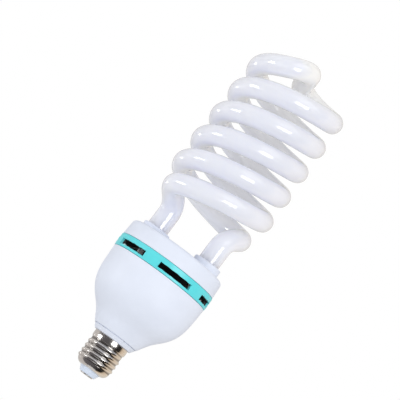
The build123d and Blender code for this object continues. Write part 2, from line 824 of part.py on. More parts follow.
with BuildPart() as drive_ring_windings:
    for coil_angle in toroid_coil_angles:
        turn = math.radians(coil_angle - toroid_coil_arc / 2)
        outwards = (math.cos(turn), 0, math.sin(turn))
        across = (-math.sin(turn), 0, math.cos(turn))
        centre = (toroid_x, toroid_y, toroid_z)
        with BuildSketch(Plane(origin=centre, x_dir=outwards, z_dir=across)):
            with Locations(((toroid_bore_radius + toroid_radius) / 2, 0)):
                core_side = toroid_radius - toroid_bore_radius
                Rectangle(core_side + 2 * toroid_coil_wall, toroid_width + 2 * toroid_coil_wall)
                Rectangle(core_side, toroid_width, mode=Mode.SUBTRACT)
        revolve(axis=Axis(centre, (0, -1, 0)), revolution_arc=toroid_coil_arc)
    add(straight_leads(toroid_leads, toroid_z + toroid_radius + toroid_coil_wall / 2))
write(drive_ring_windings, "drive_ring_windings")


def bent_wire(points, width, is_round=False):
    """Square or round wire along straight runs, mitred at each corner between them."""
    with BuildLine() as route:
        Polyline(*points)
    with BuildPart() as wire:
        with BuildSketch(Plane(origin=route.line @ 0, x_dir=(1, 0, 0), z_dir=route.line % 0)):
            if is_round:
                Circle(width / 2)
            else:
                Rectangle(width, width)
        sweep(path=route.line, transition=Transition.RIGHT)
    return wire.part


def axial_body(x, y, radius, length, pitch):
    """Round body lying along Y under the board, with a bent lead from each end up through it."""
    axis_z = board_z - axial_depth
    with BuildLine() as route:
        Polyline(
            (x, y - pitch / 2, board_top_z + lead_tail),
            (x, y - pitch / 2, axis_z),
            (x, y + pitch / 2, axis_z),
            (x, y + pitch / 2, board_top_z + lead_tail),
        )
    with BuildPart() as body:
        with BuildSketch(Plane(origin=route.line @ 0, x_dir=(1, 0, 0), z_dir=route.line % 0)):
            Rectangle(lead_side, lead_side)
        sweep(path=route.line, transition=Transition.RIGHT)
        with BuildSketch(Plane(origin=(x, y - length / 2, axis_z), x_dir=(1, 0, 0), z_dir=(0, 1, 0))):
            Circle(radius)
        extrude(amount=length)
    return body.part


# Rectifier: a flat moulded bridge that stands under the board on four leads in line
with BuildPart() as bridge_rectifier:
    with BuildSketch(Plane.XY.offset(board_z - standoff)):
        with Locations((bridge_x, axial_y)):
            Rectangle(bridge_width, bridge_depth)
    extrude(amount=-bridge_height)
    chamfer(bridge_rectifier.edges().filter_by(Axis.Z).sort_by(Axis.X)[-2:], bridge_corner)
    add(straight_leads(bridge_leads, board_z - standoff))
write(bridge_rectifier, "bridge_rectifier")

fuse = axial_body(fuse_x, axial_y, fuse_radius, fuse_length, fuse_pitch)
with BuildPart() as fuse_resistor:
    add(fuse)
write(fuse_resistor, "fuse_resistor")

diac = axial_body(diac_x, -axial_y, diac_radius, diac_length, axial_pitch)
with BuildPart() as trigger_diode:
    add(diac)
write(trigger_diode, "trigger_diode")

resistors = [axial_body(x, -axial_y, resistor_radius, resistor_length, axial_pitch) for x in resistor_xs]
with BuildPart() as base_resistors:
    add(resistors)
write(base_resistors, "base_resistors")

# Thermistor: a disc on edge
thermistor_z = board_z - standoff - thermistor_radius
with BuildPart() as thermistor:
    with BuildSketch(Plane.YZ.offset(thermistor_x)):
        with Locations((-axial_y, thermistor_z)):
            Circle(thermistor_radius)
    extrude(amount=thermistor_width / 2, both=True)
    chamfer(thermistor.edges().filter_by(GeomType.CIRCLE), thermistor_width / 4)
    thermistor_leads = [(thermistor_x, -axial_y + way * thermistor_pitch / 2) for way in (1, -1)]
    add(straight_leads(thermistor_leads, thermistor_z))
write(thermistor, "thermistor")

# Wrap pins: square posts that stand in the board, two beside each leg of the glass
pin_top_z = board_top_z + pin_height
with BuildPart() as wrap_pins:
    with BuildSketch(Plane.XY.offset(board_z - lead_tail)):
        with Locations(*pin_spots):
            Rectangle(pin_side, pin_side)
    extrude(amount=pin_top_z - board_z + lead_tail)
write(wrap_pins, "wrap_pins")

# Filament leads: from the sealed end of each leg to the inner side of its wrap pins
filaments = []
for pin_x, pin_y in pin_spots:
    side = math.copysign(1, pin_x)
    way = math.copysign(1, pin_y - side * leg_y)
    seal_x = side * leg_x
    seal_y = side * leg_y + way * filament_spread
    beside_x = pin_x - side * (pin_side / 2 + filament_side / 2 + fit_gap)
    route = [
        (seal_x, seal_y, leg_foot_z),
        (seal_x, seal_y, leg_foot_z - filament_drop),
        (beside_x, pin_y, pin_top_z + filament_rise),
        (beside_x, pin_y, board_top_z + pin_height / 3),
    ]
    filaments.append(bent_wire(route, filament_side))
with BuildPart() as filament_leads:
    add(filaments)
write(filament_leads, "filament_leads")

# Supply wires: one from the rivet of the centre contact, one from the wall of the shell
wire_top_z = board_top_z + lead_tail
middle_route = [
    (0, 0, contact_thickness),
    (0, 0, bowl_foot_z - wire_rise / 2),
    (middle_wire_x, 0, bowl_foot_z + wire_rise),
    (middle_wire_x, 0, wire_top_z),
]
middle_wire = bent_wire(middle_route, 2 * wire_radius, is_round=True)
with BuildPart() as supply_wire_middle:
    add(middle_wire)
write(supply_wire_middle, "supply_wire_middle")

side_foot_x = -(thread_root_radius - shell_wall - fit_gap - wire_radius)
inside_x = -(neck_bore - 2 * wire_radius)
side_route = [
    (side_foot_x, 0, wire_bare_end),
    (inside_x, 0, neck_foot_z + wire_rise / 4),
    (inside_x, 0, bowl_foot_z + wire_rise / 4),
    (side_wire_x, 0, bulk_top_z - bulk_length + wire_rise / 2),
    (side_wire_x, 0, wire_top_z),
]
side_wire = bent_wire(side_route, 2 * wire_radius, is_round=True)
with BuildPart() as supply_wire_side:
    add(side_wire)
write(supply_wire_side, "supply_wire_side")
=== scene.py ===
"""Looks of a spiral fluorescent lamp with a screw cap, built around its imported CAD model.

The lamp stands on its centre contact, +Z runs from the cap to the top of the glass, and the camera is rolled, so
that the lamp leans in the picture. Sizes in the classes are millimetres. They become metres where a mesh is made.
"""

import logging
import math
from dataclasses import dataclass, field
from enum import Enum
from typing import Callable, Mapping, Sequence

import bpy
import numpy as np
from mathutils import Matrix, Vector


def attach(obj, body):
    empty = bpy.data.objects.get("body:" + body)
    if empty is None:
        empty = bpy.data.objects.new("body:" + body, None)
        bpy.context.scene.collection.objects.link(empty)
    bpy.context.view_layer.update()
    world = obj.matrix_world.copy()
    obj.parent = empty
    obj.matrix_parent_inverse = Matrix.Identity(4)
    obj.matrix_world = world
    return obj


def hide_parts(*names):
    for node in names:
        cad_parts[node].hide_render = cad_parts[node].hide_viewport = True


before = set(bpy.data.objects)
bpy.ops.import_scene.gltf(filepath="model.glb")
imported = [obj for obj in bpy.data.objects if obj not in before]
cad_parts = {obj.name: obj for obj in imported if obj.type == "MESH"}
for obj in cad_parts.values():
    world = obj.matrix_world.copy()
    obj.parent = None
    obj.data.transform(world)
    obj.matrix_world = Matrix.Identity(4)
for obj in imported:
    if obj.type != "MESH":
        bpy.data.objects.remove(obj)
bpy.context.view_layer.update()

MILLIMETRE = 0.001
FULL_TURN = 2 * math.pi
LEAST_STEP = 0.004
CREASE = 40.0
PATCH_RANGE = (0.35, 0.65)
STREAK_RANGE = (0.3, 0.7)

log = logging.getLogger("spiral_lamp")

Colour = tuple[float, float, float]


# Shapes


@dataclass
class Shape:
    """Points in millimetres and the faces between them, one closed surface or several.

    Args:
        points: One row of x, y, z for each point.
        quads: One row of four point numbers for each four-sided face.
        triangles: One row of three point numbers for each three-sided face.
    """

    points: np.ndarray
    quads: np.ndarray
    triangles: np.ndarray = field(default_factory=lambda: np.zeros((0, 3), int))

    def __add__(self, other: "Shape") -> "Shape":
        """The two shapes as one, the other's point numbers counted on from this one's."""
        start = len(self.points)
        return Shape(
            np.concatenate((self.points, other.points)),
            np.concatenate((self.quads, other.quads + start)),
            np.concatenate((self.triangles, other.triangles + start)),
        )

    def moved(self, offset: Sequence[float]) -> "Shape":
        """The shape moved by the offset."""
        return Shape(self.points + np.asarray(offset, float), self.quads, self.triangles)

    def as_object(self, name: str, crease: float = CREASE) -> bpy.types.Object:
        """A mesh object of this shape, in metres, smooth apart from edges sharper than the crease.

        Args:
            name: Name of the object.
            crease: Angle in degrees above which an edge stays sharp.

        Returns:
            The object, linked to the scene.
        """
        mesh = bpy.data.meshes.new(name)
        faces = self.quads.tolist() + self.triangles.tolist()
        mesh.from_pydata((self.points * MILLIMETRE).tolist(), [], faces)
        mesh.polygons.foreach_set("use_smooth", np.ones(len(faces), bool))
        mesh.set_sharp_from_angle(angle=math.radians(crease))
        mesh.update()
        return linked(name, mesh)


def linked(name: str, data: bpy.types.ID) -> bpy.types.Object:
    """A new object of the data, linked to the scene."""
    item = bpy.data.objects.new(name, data)
    bpy.context.scene.collection.objects.link(item)
    return item


def unit(vectors: np.ndarray) -> np.ndarray:
    """Each row divided by its own length."""
    return vectors / np.linalg.norm(vectors, axis=-1, keepdims=True)


def spaced(points: np.ndarray, least: float = LEAST_STEP) -> np.ndarray:
    """The points without those that lie nearer to the one before than the least step."""
    steps = np.linalg.norm(np.diff(points, axis=0), axis=1)
    return points[np.concatenate(([True], steps > least))]


def rounded(corners: Sequence[Sequence[float]], steps: int = 5) -> np.ndarray:
    """Outline with arcs in place of its corners.

    An arc leaves the side before a corner at rounding * tan(turn / 2) from it. From there its point at angle a is
    rounding * sin(a) further along that side and rounding * (1 - cos(a)) towards the side that the outline turns to.

    Args:
        corners: The outline's corners as (radius, height, rounding), the last joined to the first.
        steps: Number of chords in each arc.

    Returns:
        The points of the rounded outline.
    """
    corner, rounding = np.split(np.asarray(corners, float), [2], axis=1)
    along = unit(corner - np.roll(corner, 1, axis=0))
    onward = unit(np.roll(corner, -1, axis=0) - corner)
    turn = np.arctan2(along[:, 0] * onward[:, 1] - along[:, 1] * onward[:, 0], (along * onward).sum(axis=1))
    inward = np.stack((-along[:, 1], along[:, 0]), axis=1) * np.sign(turn)[:, None]
    start = corner - along * (rounding * np.tan(np.abs(turn) / 2)[:, None])
    angle = (np.abs(turn)[:, None] * np.linspace(0, 1, steps + 1))[..., None]
    arc = start[:, None] + rounding[:, None] * (np.sin(angle) * along[:, None] + (1 - np.cos(angle)) * inward[:, None])
    return spaced(arc.reshape(-1, 2))


def upright(radius: float, low: float, high: float, rows: int) -> np.ndarray:
    """Points at one radius, evenly spaced between two heights."""
    heights = np.linspace(low, high, rows)
    return np.stack((np.full_like(heights, radius), heights), axis=1)


def trimmed(points: np.ndarray, axis: int, low: float, high: float) -> np.ndarray:
    """The points whose coordinate of the given number lies between the two values."""
    return points[(points[:, axis] > low) & (points[:, axis] < high)]


def bulged(start: Sequence[float], end: Sequence[float], bulge: float, steps: int) -> np.ndarray:
    """Parabola between two points: the straight line moved to its right by 4 * bulge * t * (1 - t)."""
    first, last = np.asarray(start, float), np.asarray(end, float)
    share = np.linspace(0, 1, steps + 1)[:, None]
    way = unit(last - first)
    return first + share * (last - first) + np.array([way[1], -way[0]]) * 4 * bulge * share * (1 - share)


def clamped_spline(points: Sequence[Sequence[float]], ways: Sequence[Sequence[float]], steps: int) -> np.ndarray:
    """Cubic spline through the points with a given direction at each end.

    The parameter is the summed distance between the points. The slopes at the points solve the tridiagonal system
    that makes the second derivative continuous, and each span is the Hermite cubic of its two points and slopes.

    Args:
        points: Points as (radius, height).
        ways: Direction at the first and at the last point.
        steps: Number of chords in each span.

    Returns:
        The points of the curve.
    """
    place = np.asarray(points, float)
    gap = np.linalg.norm(np.diff(place, axis=0), axis=1)
    count = len(place)
    system = np.zeros((count, count))
    right = np.zeros((count, 2))
    system[0, 0] = system[-1, -1] = 1
    right[0], right[-1] = unit(np.asarray(ways, float))
    inner = np.arange(1, count - 1)
    before, after = gap[:-1], gap[1:]
    system[inner, inner - 1] = after
    system[inner, inner] = 2 * (before + after)
    system[inner, inner + 1] = before
    rise = np.diff(place, axis=0) / gap[:, None]
    right[inner] = 3 * (after[:, None] * rise[:-1] + before[:, None] * rise[1:])
    slope = np.linalg.solve(system, right)
    t = np.linspace(0, 1, steps + 1)[None, :, None]
    span = gap[:, None, None]
    curve = (
        (2 * t**3 - 3 * t**2 + 1) * place[:-1, None]
        + (t**3 - 2 * t**2 + t) * span * slope[:-1, None]
        + (3 * t**2 - 2 * t**3) * place[1:, None]
        + (t**3 - t**2) * span * slope[1:, None]
    )
    return spaced(curve.reshape(-1, 2))


def spun(radius: np.ndarray, height: np.ndarray, turn: np.ndarray) -> np.ndarray:
    """Rows of points round the axis: x = radius * cos(turn), y = radius * sin(turn), z = height."""
    return np.stack(np.broadcast_arrays(radius * np.cos(turn), radius * np.sin(turn), height), axis=-1)


def ring_quads(rows: int, columns: int, closed: bool) -> np.ndarray:
    """Quads between neighbouring rows of a grid whose columns go round once.

    Args:
        rows: Number of rows of points.
        columns: Number of points in each row.
        closed: Whether the last row is joined to the first.

    Returns:
        The quads as an array of shape (spans, columns, 4).
    """
    row = np.arange(rows if closed else rows - 1)[:, None]
    column = np.arange(columns)[None, :]
    above = (row + 1) % rows
    beside = (column + 1) % columns
    return np.stack(
        (row * columns + column, row * columns + beside, above * columns + beside, above * columns + column), axis=-1
    )


def revolved(
    outline: np.ndarray, sides: int = 128, swell: Callable[[np.ndarray, np.ndarray], np.ndarray] | None = None
) -> Shape:
    """Outline carried round the axis: x = r * cos(a), y = r * sin(a), z = height.

    An outline that starts and ends on the axis gets one point at each pole. Any other is a closed ring.

    Args:
        outline: Points as (radius, height), with the material on the left when it is walked.
        sides: Number of steps round the axis.
        swell: Radius to add, as a function of the angle and of the row number.

    Returns:
        The closed surface.
    """
    poles = abs(outline[0, 0]) < LEAST_STEP and abs(outline[-1, 0]) < LEAST_STEP
    rings = outline[1:-1] if poles else outline
    turn, row = np.meshgrid(np.arange(sides) * FULL_TURN / sides, np.arange(len(rings)))
    radius = rings[:, :1] + (swell(turn, row) if swell else 0)
    points = spun(radius, rings[:, 1:], turn).reshape(-1, 3)
    quads = ring_quads(len(rings), sides, closed=not poles).reshape(-1, 4)
    if not poles:
        return Shape(points, quads)
    return with_poles(points, quads, sides, (0, 0, outline[0, 1]), (0, 0, outline[-1, 1]))


def with_poles(
    points: np.ndarray, quads: np.ndarray, sides: int, first: Sequence[float], last: Sequence[float]
) -> Shape:
    """An open stack of rings closed at both ends by a fan of triangles round one point."""
    count = len(points)
    here = np.arange(sides)
    there = (here + 1) % sides
    top = count - sides
    start_fan = np.stack((np.full(sides, count), there, here), axis=1)
    end_fan = np.stack((np.full(sides, count + 1), top + here, top + there), axis=1)
    return Shape(np.concatenate((points, [first], [last])), quads, np.concatenate((start_fan, end_fan)))


@dataclass
class SlottedBand:
    """A ring with a closed outline and slots cut through its wall.

    Args:
        outer: Outline of the outer face as (radius, height), upwards, with two rows at the slot's edges.
        inner: Outline of the inner face, downwards.
        foot: Height of the slots' lower edge.
        height: Height of the slots.
        middles: Angles of the slots' middles in degrees.
        arc: Width of a slot in degrees.
        step: Widest step of the grid in degrees.
    """

    outer: np.ndarray
    inner: np.ndarray
    foot: float
    height: float
    middles: Sequence[float]
    arc: float
    step: float = 3.0

    def stations(self) -> tuple[np.ndarray, np.ndarray]:
        """Angles of the grid's columns, and for each column whether a slot lies between it and the next."""
        edges = np.sort(np.mod([m + way * self.arc / 2 for m in self.middles for way in (-1, 1)], 360))
        spans = np.diff(np.append(edges, edges[0] + 360))
        counts = np.ceil(spans / self.step).astype(int)
        angles = np.concatenate([e + s * np.arange(n) / n for e, s, n in zip(edges, spans, counts)])
        centres = angles + np.repeat(spans / counts, counts) / 2
        away = np.abs(np.mod(centres[:, None] - np.asarray(self.middles)[None] + 180, 360) - 180).min(axis=1)
        return np.radians(angles), away < self.arc / 2

    def shape(self) -> Shape:
        """The band: a revolved grid without the cells of the slots, and the four walls of each slot."""
        angles, open_columns = self.stations()
        outline = np.concatenate((self.outer, self.inner))
        columns = len(angles)
        points = spun(outline[:, :1], outline[:, 1:], angles)
        quads = ring_quads(len(outline), columns, closed=True)
        middle = (outline[:, 1] + np.roll(outline[:, 1], -1)) / 2
        flat = abs(outline[:, 0] - np.roll(outline[:, 0], -1)) < LEAST_STEP
        inside = flat & (middle > self.foot) & (middle < self.foot + self.height)
        kept = quads[~(inside[:, None] & open_columns[None, :])]
        rows = np.flatnonzero(inside)
        outside_rows = rows[rows < len(self.outer)]
        inside_rows = rows[rows >= len(self.outer)]
        low_out, high_out = outside_rows[0], outside_rows[-1] + 1
        high_in, low_in = inside_rows[0], inside_rows[-1] + 1
        here = np.flatnonzero(open_columns)
        there = (here + 1) % columns
        floor = self.quads(columns, (low_in, here), (low_in, there), (low_out, there), (low_out, here))
        roof = self.quads(columns, (high_out, here), (high_out, there), (high_in, there), (high_in, here))
        up = np.arange(low_out, high_out)
        down = np.arange(low_in, high_in, -1)
        first = here[~open_columns[here - 1]][:, None]
        last = there[~open_columns[there]][:, None]
        near = self.quads(columns, (up, first), (up + 1, first), (down - 1, first), (down, first))
        far = self.quads(columns, (down, last), (down - 1, last), (up + 1, last), (up, last))
        return Shape(points.reshape(-1, 3), np.concatenate((kept, floor, roof, near, far)))

    @staticmethod
    def quads(columns: int, *corners: tuple[np.ndarray | int, np.ndarray]) -> np.ndarray:
        """Quads whose four corners are given as rows and columns of the grid."""
        return np.stack([row * columns + column for row, column in corners], axis=-1).reshape(-1, 4)


def finished(piece: bpy.types.Object) -> bpy.types.Object:
    """The piece with its modifiers worked into its mesh."""
    graph = bpy.context.evaluated_depsgraph_get()
    graph.update()
    mesh = bpy.data.meshes.new_from_object(piece.evaluated_get(graph))
    mesh.name = piece.name
    piece.modifiers.clear()
    piece.data = mesh
    return piece


def combined(piece: bpy.types.Object, other: bpy.types.Object, operation: str) -> None:
    """Join the piece with another closed piece or cut it by that one, which is used up."""
    step = piece.modifiers.new("combine", "BOOLEAN")
    step.operation = operation
    step.solver = "EXACT"
    step.object = other
    finished(piece)
    bpy.data.objects.remove(other)


def flattened(piece: bpy.types.Object) -> bpy.types.Object:
    """The piece with its flat faces shaded flat up to their soft edges."""
    piece.modifiers.new("flat faces", "WEIGHTED_NORMAL").keep_sharp = True
    return piece


def eased(piece: bpy.types.Object, width: float) -> bpy.types.Object:
    """The piece with its sharp edges rounded by the width in millimetres, as a mould leaves them."""
    step = piece.modifiers.new("edges", "BEVEL")
    step.width = width * MILLIMETRE
    step.segments = 2
    step.limit_method = "ANGLE"
    step.angle_limit = math.radians(CREASE)
    step.use_clamp_overlap = True
    step.harden_normals = False
    return flattened(piece)


# Materials


def operator(operation: str, swapped: bool = False) -> Callable[["Signal", "Signal | float"], "Signal"]:
    """Operator of Signal that adds a Math node, with its two values swapped in a reflected form."""
    return lambda signal, other: signal.math(operation, other, swapped=swapped)


class Signal:
    """One output of a node, with the arithmetic of Math nodes."""

    def __init__(self, graph: "Graph", socket: bpy.types.NodeSocket) -> None:
        """Keep the node tree and the socket."""
        self.graph = graph
        self.socket = socket

    def math(self, operation: str, *others: "Signal | float", swapped: bool = False) -> "Signal":
        """A Math node of this signal and others."""
        values = [self, *others]
        if swapped:
            values.reverse()
        node = self.graph.add("ShaderNodeMath", {"operation": operation}, dict(enumerate(values)))
        return Signal(self.graph, node.outputs[0])

    __add__ = __radd__ = operator("ADD")
    __sub__, __rsub__ = operator("SUBTRACT"), operator("SUBTRACT", swapped=True)
    __mul__ = __rmul__ = operator("MULTIPLY")
    __truediv__, __rtruediv__ = operator("DIVIDE"), operator("DIVIDE", swapped=True)
    __pow__, __rpow__ = operator("POWER"), operator("POWER", swapped=True)
    larger = operator("MAXIMUM")

    def between(self, low: float, high: float) -> "Signal":
        """0 below the low value, 1 above the high one, with an even slope between them."""
        sockets = {"Value": self, "From Min": low, "From Max": high, "To Min": 0.0, "To Max": 1.0}
        return Signal(self.graph, self.graph.add("ShaderNodeMapRange", {"clamp": True}, sockets).outputs[0])


class Graph:
    """The node tree of a material or of the world."""

    def __init__(self, block: bpy.types.Material | bpy.types.World) -> None:
        """Give the block an empty node tree."""
        block.use_nodes = True
        self.tree = block.node_tree
        self.tree.nodes.clear()

    def add(
        self,
        kind: str,
        settings: Mapping[str, object] | None = None,
        sockets: Mapping[str | int, object] | None = None,
    ) -> bpy.types.Node:
        """Add one node.

        Args:
            kind: The node's type.
            settings: Its properties. The key stops gives a ramp its (place, colour) pairs.
            sockets: Its inputs by name or number, each a value, a Signal or an output socket.

        Returns:
            The node.
        """
        node = self.tree.nodes.new(kind)
        for key, value in (settings or {}).items():
            if key == "stops":
                self.fill_ramp(node.color_ramp, value)
            else:
                setattr(node, key, value)
        for key, value in (sockets or {}).items():
            target = node.inputs[key]
            source = value.socket if isinstance(value, Signal) else value
            if isinstance(source, bpy.types.NodeSocket):
                self.tree.links.new(source, target)
            elif target.type == "RGBA" and len(source) == 3:
                target.default_value = (*source, 1.0)
            else:
                target.default_value = source
        return node

    @staticmethod
    def fill_ramp(ramp: bpy.types.ColorRamp, stops: Sequence[tuple[float, Colour]]) -> None:
        """Give a ramp its stops."""
        for number, (place, colour) in enumerate(stops):
            element = ramp.elements[number] if number < 2 else ramp.elements.new(place)
            element.position = place
            element.color = (*colour, 1.0)

    def axes(self) -> tuple[Signal, Signal, Signal]:
        """The three object coordinates as signals."""
        spot = self.add("ShaderNodeTexCoord").outputs["Object"]
        split = self.add("ShaderNodeSeparateXYZ", None, {"Vector": spot})
        return tuple(Signal(self, socket) for socket in split.outputs)

    def reach(self) -> Signal:
        """Distance from the lamp's axis in metres."""
        sideways, away, _ = self.axes()
        return (sideways * sideways + away * away) ** 0.5

    def band(self, levels: Sequence[float], edge: float) -> Signal:
        """1 between two heights and 0 outside them, with slopes as wide as the edge, all in millimetres."""
        height = self.axes()[2]
        low, high = (level * MILLIMETRE for level in levels)
        slope = edge * MILLIMETRE
        return height.between(low - slope, low) * (1 - height.between(high, high + slope))

    def noise(self, size: float, detail: float = 3.0, scale: Sequence[float] = (1, 1, 1)) -> Signal:
        """Noise between 0 and 1 with features of about the given size in millimetres, divided by the scale."""
        spot = self.add("ShaderNodeTexCoord").outputs["Object"]
        place = self.add("ShaderNodeMapping", None, {"Vector": spot, "Scale": tuple(scale)}).outputs[0]
        sockets = {"Vector": place, "Scale": 1 / (size * MILLIMETRE), "Detail": detail}
        return Signal(self, self.add("ShaderNodeTexNoise", None, sockets).outputs[0])

    def blend(self, share: Signal, first: object, second: object) -> bpy.types.NodeSocket:
        """Colour that goes from the first to the second with the share."""
        mix = self.add("ShaderNodeMix", {"data_type": "RGBA"}, {0: share, 6: first, 7: second})
        return mix.outputs[2]

    def bump(self, height: Signal, depth: float) -> bpy.types.NodeSocket:
        """Normal of a relief whose height from 0 to 1 stands for the depth in millimetres."""
        sockets = {"Height": height, "Distance": depth * MILLIMETRE, "Strength": 1.0}
        return self.add("ShaderNodeBump", None, sockets).outputs[0]

    def surface(self, sockets: Mapping[str | int, object]) -> None:
        """Principled surface with the given sockets as the material's output."""
        shader = self.add("ShaderNodeBsdfPrincipled", None, sockets)
        self.add("ShaderNodeOutputMaterial", None, {"Surface": shader.outputs[0]})


class Slot(Enum):
    """Material slots of the record."""

    GLASS = "phosphor_glass"
    WHITE = "white_plastic"
    TURQUOISE = "turquoise_plastic"
    SHELL = "nickel_plate"
    INSULATOR = "pale_insulator"
    CONTACT = "contact_metal"
    CEMENT = "white_cement"
    LAMINATE = "board_laminate"
    SLEEVE = "can_sleeve"
    FERRITE = "ferrite"
    BOBBIN = "bobbin_plastic"
    COPPER = "enamelled_copper"
    FILM = "film_resin"
    EPOXY = "black_epoxy"
    RESISTOR = "resistor_coating"
    DIODE = "diode_glass"
    THERMISTOR = "thermistor_coating"
    TIN = "tinned_metal"
    WIRE = "wire_sleeve"


@dataclass(frozen=True)
class Finish:
    """A finish with a soft change of colour, an uneven gloss and a fine relief.

    Args:
        colour: Main colour.
        shade: Colour of the patches, which some finishes also use for painted shade and painted light.
        patch: Size of the patches in millimetres.
        roughness: Roughness of the smoothest and of the dullest spots.
        metallic: 1 for metal.
        grain: Size of the relief in millimetres.
        depth: Depth of the relief in millimetres.
        coat: Weight of a clear gloss coat.
        coat_roughness: Roughness of that coat.
        coat_ior: Refractive index of that coat.
        specular: Strength of the plain reflection, 0.5 for most plastics.
        glow_through: Share of the light that spreads inside the material before it leaves it.
        spread: How far that light spreads in millimetres.
    """

    colour: Colour
    shade: Colour
    patch: float = 6.0
    roughness: tuple[float, float] = (0.35, 0.5)
    metallic: float = 0.0
    grain: float = 0.6
    depth: float = 0.02
    coat: float = 0.0
    coat_roughness: float = 0.05
    coat_ior: float = 1.5
    specular: float = 0.5
    glow_through: float = 0.0
    spread: float = 12.0

    def patches(self, graph: Graph) -> Signal:
        """1 inside soft patches and 0 between them."""
        return graph.noise(self.patch).between(*PATCH_RANGE)

    def pattern(self, graph: Graph) -> Signal:
        """Share of the shade at each spot."""
        return self.patches(graph)

    def relief(self, graph: Graph) -> Signal:
        """Height of the relief at each spot."""
        return graph.noise(self.grain, detail=2.0)

    def material(self, name: str) -> bpy.types.Material:
        """The finish as a material of the given name."""
        material = bpy.data.materials.new(name)
        graph = Graph(material)
        share = self.pattern(graph)
        smooth, dull = self.roughness
        gloss = graph.noise(self.patch * 0.7, detail=4.0).between(*STREAK_RANGE)
        graph.surface(
            {
                "Base Color": graph.blend(share, self.colour, self.shade),
                "Roughness": gloss * (dull - smooth) + smooth,
                "Metallic": self.metallic,
                "Specular IOR Level": self.specular,
                "Coat Weight": self.coat,
                "Coat Roughness": self.coat_roughness,
                "Coat IOR": self.coat_ior,
                "Subsurface Weight": self.glow_through,
                "Subsurface Radius": (1.0, 1.0, 1.0),
                "Subsurface Scale": self.spread * MILLIMETRE,
                "Normal": graph.bump(self.relief(graph), self.depth),
            }
        )
        return material


@dataclass(frozen=True)
class PressedMetalWithPaintedShade(Finish):
    """Plated sheet: faint streaks round the axis and painted shade in the grooves between the crests of the thread.

    Args:
        groove: Distances from the axis at which the painted groove shade is darkest and at which it ends, in
            millimetres.
        thread: Heights of the lowest and the highest groove in millimetres.
        groove_share: Share of the shade colour painted into the grooves as shade.
        streak_share: Share of the shade in the streaks.
    """

    groove: tuple[float, float] = (12.22, 12.75)
    thread: tuple[float, float] = (8.6, 23.6)
    groove_share: float = 0.7
    streak_share: float = 0.12

    def pattern(self, graph: Graph) -> Signal:
        """Streaks, long round the axis and short along it, and painted groove shade by distance from the axis."""
        deepest, end = (radius * MILLIMETRE for radius in self.groove)
        # Painted shade: the grooves of the thread take the dark shade colour.
        groove = (1 - graph.reach().between(deepest, end)) * graph.band(self.thread, edge=0.3)
        streaks = graph.noise(self.patch, detail=4.0, scale=(1, 1, 9)).between(*STREAK_RANGE)
        return (streaks * self.streak_share).larger(groove * self.groove_share)

    def relief(self, graph: Graph) -> Signal:
        """Shallow dents and fine scratches."""
        return graph.noise(self.grain * 6, detail=2.0) * 0.6 + graph.noise(self.grain, scale=(1, 1, 6)) * 0.4


@dataclass(frozen=True)
class WoundWire(Finish):
    """Enamelled wire wound in close turns: bands across the coil's axis, with painted shade in the grooves.

    Args:
        wire: Diameter of the wire in millimetres.
        axis: Number of the coordinate along the coil: 0, 1 or 2.
    """

    wire: float = 0.5
    axis: int = 2

    def turns(self, graph: Graph) -> Signal:
        """1 on the crest of each turn and 0 in the groove, the absolute sine of the place along the coil."""
        place = graph.axes()[self.axis] * (math.pi / (self.wire * MILLIMETRE))
        return place.math("SINE").math("ABSOLUTE")

    def pattern(self, graph: Graph) -> Signal:
        """Painted shade: grooves are darker than crests."""
        return 1 - self.turns(graph)

    def relief(self, graph: Graph) -> Signal:
        """The turns themselves, with a little unevenness."""
        return self.turns(graph) * 0.9 + graph.noise(self.grain) * 0.1


@dataclass(frozen=True)
class CoatedGlassWithPaintedLight(Finish):
    """Clear glass over a white powder coat, with painted light on the coil's inner side, lighter and warmer there.

    Args:
        inner: Distance from the axis up to which the painted light is full, in millimetres.
        outer: Distance from the axis from which there is no painted light, in millimetres.
        coil: Heights between which the legs, without painted light, go over into the coil, in millimetres.
        cloud_share: Share of the warm colour in the clouds.
    """

    inner: float = 28.0
    outer: float = 34.0
    coil: tuple[float, float] = (132.0, 142.0)
    cloud_share: float = 0.15

    def pattern(self, graph: Graph) -> Signal:
        """Painted light inside the coil and none outside it, with broad clouds and a finer mottle."""
        coiled = graph.axes()[2].between(*(level * MILLIMETRE for level in self.coil))
        # Painted light: the coil's inner side takes the lighter, warmer shade colour.
        inside = (1 - graph.reach().between(self.inner * MILLIMETRE, self.outer * MILLIMETRE)) * coiled
        clouds = graph.noise(self.patch) * 0.7 + graph.noise(self.patch / 8, detail=4.0) * 0.3
        return inside.larger(clouds.between(*PATCH_RANGE) * self.cloud_share)


@dataclass(frozen=True)
class MouldedShellWithPaintedShade(Finish):
    """Moulded plastic with a pale face and painted shade on its inner side round the air space over the board.

    Args:
        reach: Distances from the axis between which the painted shade of the inner side ends, in millimetres.
        levels: Heights of the foot and of the ceiling of the air space in millimetres.
        patch_share: Share of the shade in the patches.
    """

    reach: tuple[float, float] = (36.0, 36.2)
    levels: tuple[float, float] = (78.5, 100.75)
    patch_share: float = 0.03

    def pattern(self, graph: Graph) -> Signal:
        """Painted shade round the air space, a trace of the shade colour in soft patches elsewhere."""
        # Painted shade: the inner side round the air space takes the dark shade colour.
        inside = 1 - graph.reach().between(*(radius * MILLIMETRE for radius in self.reach))
        return (inside * graph.band(self.levels, edge=0.2)).larger(self.patches(graph) * self.patch_share)


